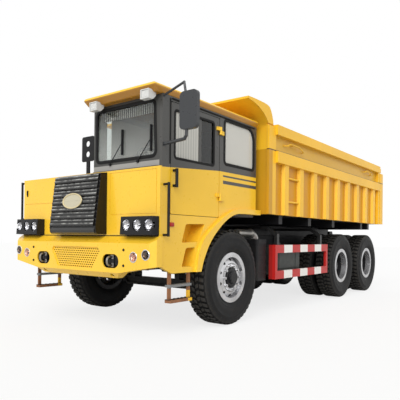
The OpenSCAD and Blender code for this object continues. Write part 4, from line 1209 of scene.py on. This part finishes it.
def layBolts():
    head = addDisc(*boltForm["head"])
    bolt = joinPieces([addDisc(*boltForm["washer"]), head])
    bolts = copyToAll(bolt, boltForm["bumper"])
    finishPiece(bolts, "bumper_bolts", "chassis", "blackPaint", 30)


# a bow shackle with its upright pin in each tow lug
shackle = {
    "x": 1.322, "y": 0.59, "reach": 1.404, "half": 0.043, "bar": 0.012, "corner": 0.034, "steps": 24,
    "pin": (
        (0, -0.064), (0.02, -0.064), (0.022, -0.06), (0.022, -0.053), (0.0175, -0.052), (0.0175, 0.052),
        (0.026, 0.053), (0.027, 0.062), (0.024, 0.066), (0, 0.066))}


def layShackles():
    low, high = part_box("tow_lugs")
    z = (low.z + high.z) / 2
    x, far, half = shackle["x"], shackle["reach"], shackle["half"]
    parts = []
    for y in (shackle["y"], -shackle["y"]):
        bow = [(x, y, z + half), (far, y, z + half), (far, y, z - half), (x, y, z - half)]
        parts.append(bendRod(bow, shackle["bar"], shackle["corner"]))
        pin = spinLine([(r, 0, h) for r, h in shackle["pin"]], (0, 0, 1), shackle["steps"])
        parts.append(copyToAll(pin, [(x, y, z)]))
    finishPiece(joinPieces(parts), "tow_shackles", "chassis", "forgedSteel", 40)


# anti-slip strips across the lowest rung of each ladder
tread = {
    "rear": 0.735, "pitch": 0.062, "width": 0.03, "strips": 6, "y": 1.132, "half": 0.034,
    "z": (0.391, 0.397)}


def treadBoxes():
    z0, z1 = tread["z"]
    boxes = []
    for i in range(tread["strips"]):
        x = tread["rear"] + tread["pitch"] * i
        for y in (tread["y"], -tread["y"]):
            boxes.append(((x, y - tread["half"], z0), (x + tread["width"], y + tread["half"], z1)))
    return boxes


# small trim: finish, slot, bevel, then low and high corners of each rounded block
trimBlocks = {
    "nose_latch": (
        "blackPlastic", "black_plastic", 0.004,
        (((1.2525, -1.112, 1.53), (1.2645, -1.094, 1.61)), ((1.262, -1.108, 1.55), (1.271, -1.098, 1.6)))),
    "side_markers": (
        "redPlastic", "red_paint", 0.005,
        (((1.052, 1.1835, 1.142), (1.108, 1.2, 1.184)), ((1.052, -1.2, 1.142), (1.108, -1.1835, 1.184)))),
    # painted shadow: a black strip standing in for the shadowed gap between nose and bumper
    "nose_shadow_strip": ("softRubber", "black_plastic", 0.003, (((1.2525, -1.176, 1.033), (1.264, 1.176, 1.049)),)),
    "screen_backing": (
        "softRubber", "black_plastic", 0.002,
        (((1.33, -0.325, 0.69), (1.334, 0.325, 0.935)), ((1.33, -0.4, 0.86), (1.334, 0.4, 0.93)))),
    "ladder_treads": ("blackPaint", "black_paint", 0.002, treadBoxes()),
    "pillar_seal": ("softRubber", "black_plastic", 0.002, (((1.107, 1.1835, 1.775), (1.121, 1.1905, 2.44)),)),
    "roof_gutters": ("softRubber", "black_plastic", 0.002, (((-0.5, 1.1835, 2.43), (1.09, 1.196, 2.444)),)),
    "cab_trim_strip": ("greyPaint", "grey_paint", 0.003, (((1.2275, 0.155, 1.735), (1.246, 1.14, 1.75)),)),
}


def layTrim():
    for name, (finish, slotName, bevel, boxes) in trimBlocks.items():
        piece = joinPieces([addBlock(low, high, bevel) for low, high in boxes])
        finishPiece(piece, name, "chassis", finish, 40)
    print("trim laid:", len(trimBlocks))


# glass on the back of the mirror head
mirror = {
    "x": 1.2305, "y": (1.458, 1.632), "z": (2.068, 2.392), "corner": 0.032, "segments": 5, "thick": 0.004}


def layMirror():
    x, (y0, y1), (z0, z1) = mirror["x"], mirror["y"], mirror["z"]
    corners = [(x, y0, z0), (x, y1, z0), (x, y1, z1), (x, y0, z1)]
    glass = drawPlate(corners, (mirror["thick"], 0, 0), mirror["corner"], mirror["segments"])
    finishPiece(glass, "mirror_glass", "chassis", "mirrorGlass", 30)


placeCamera()
setLight()
layFloor()
makeFinishes()
dressNodes()
layTyres()
layLamps()
laySquareLamps()
layBadge()
laySeals()
laySeat()
layCurtain()
layHooks()
layBolts()
layShackles()
layTrim()
layMirror()
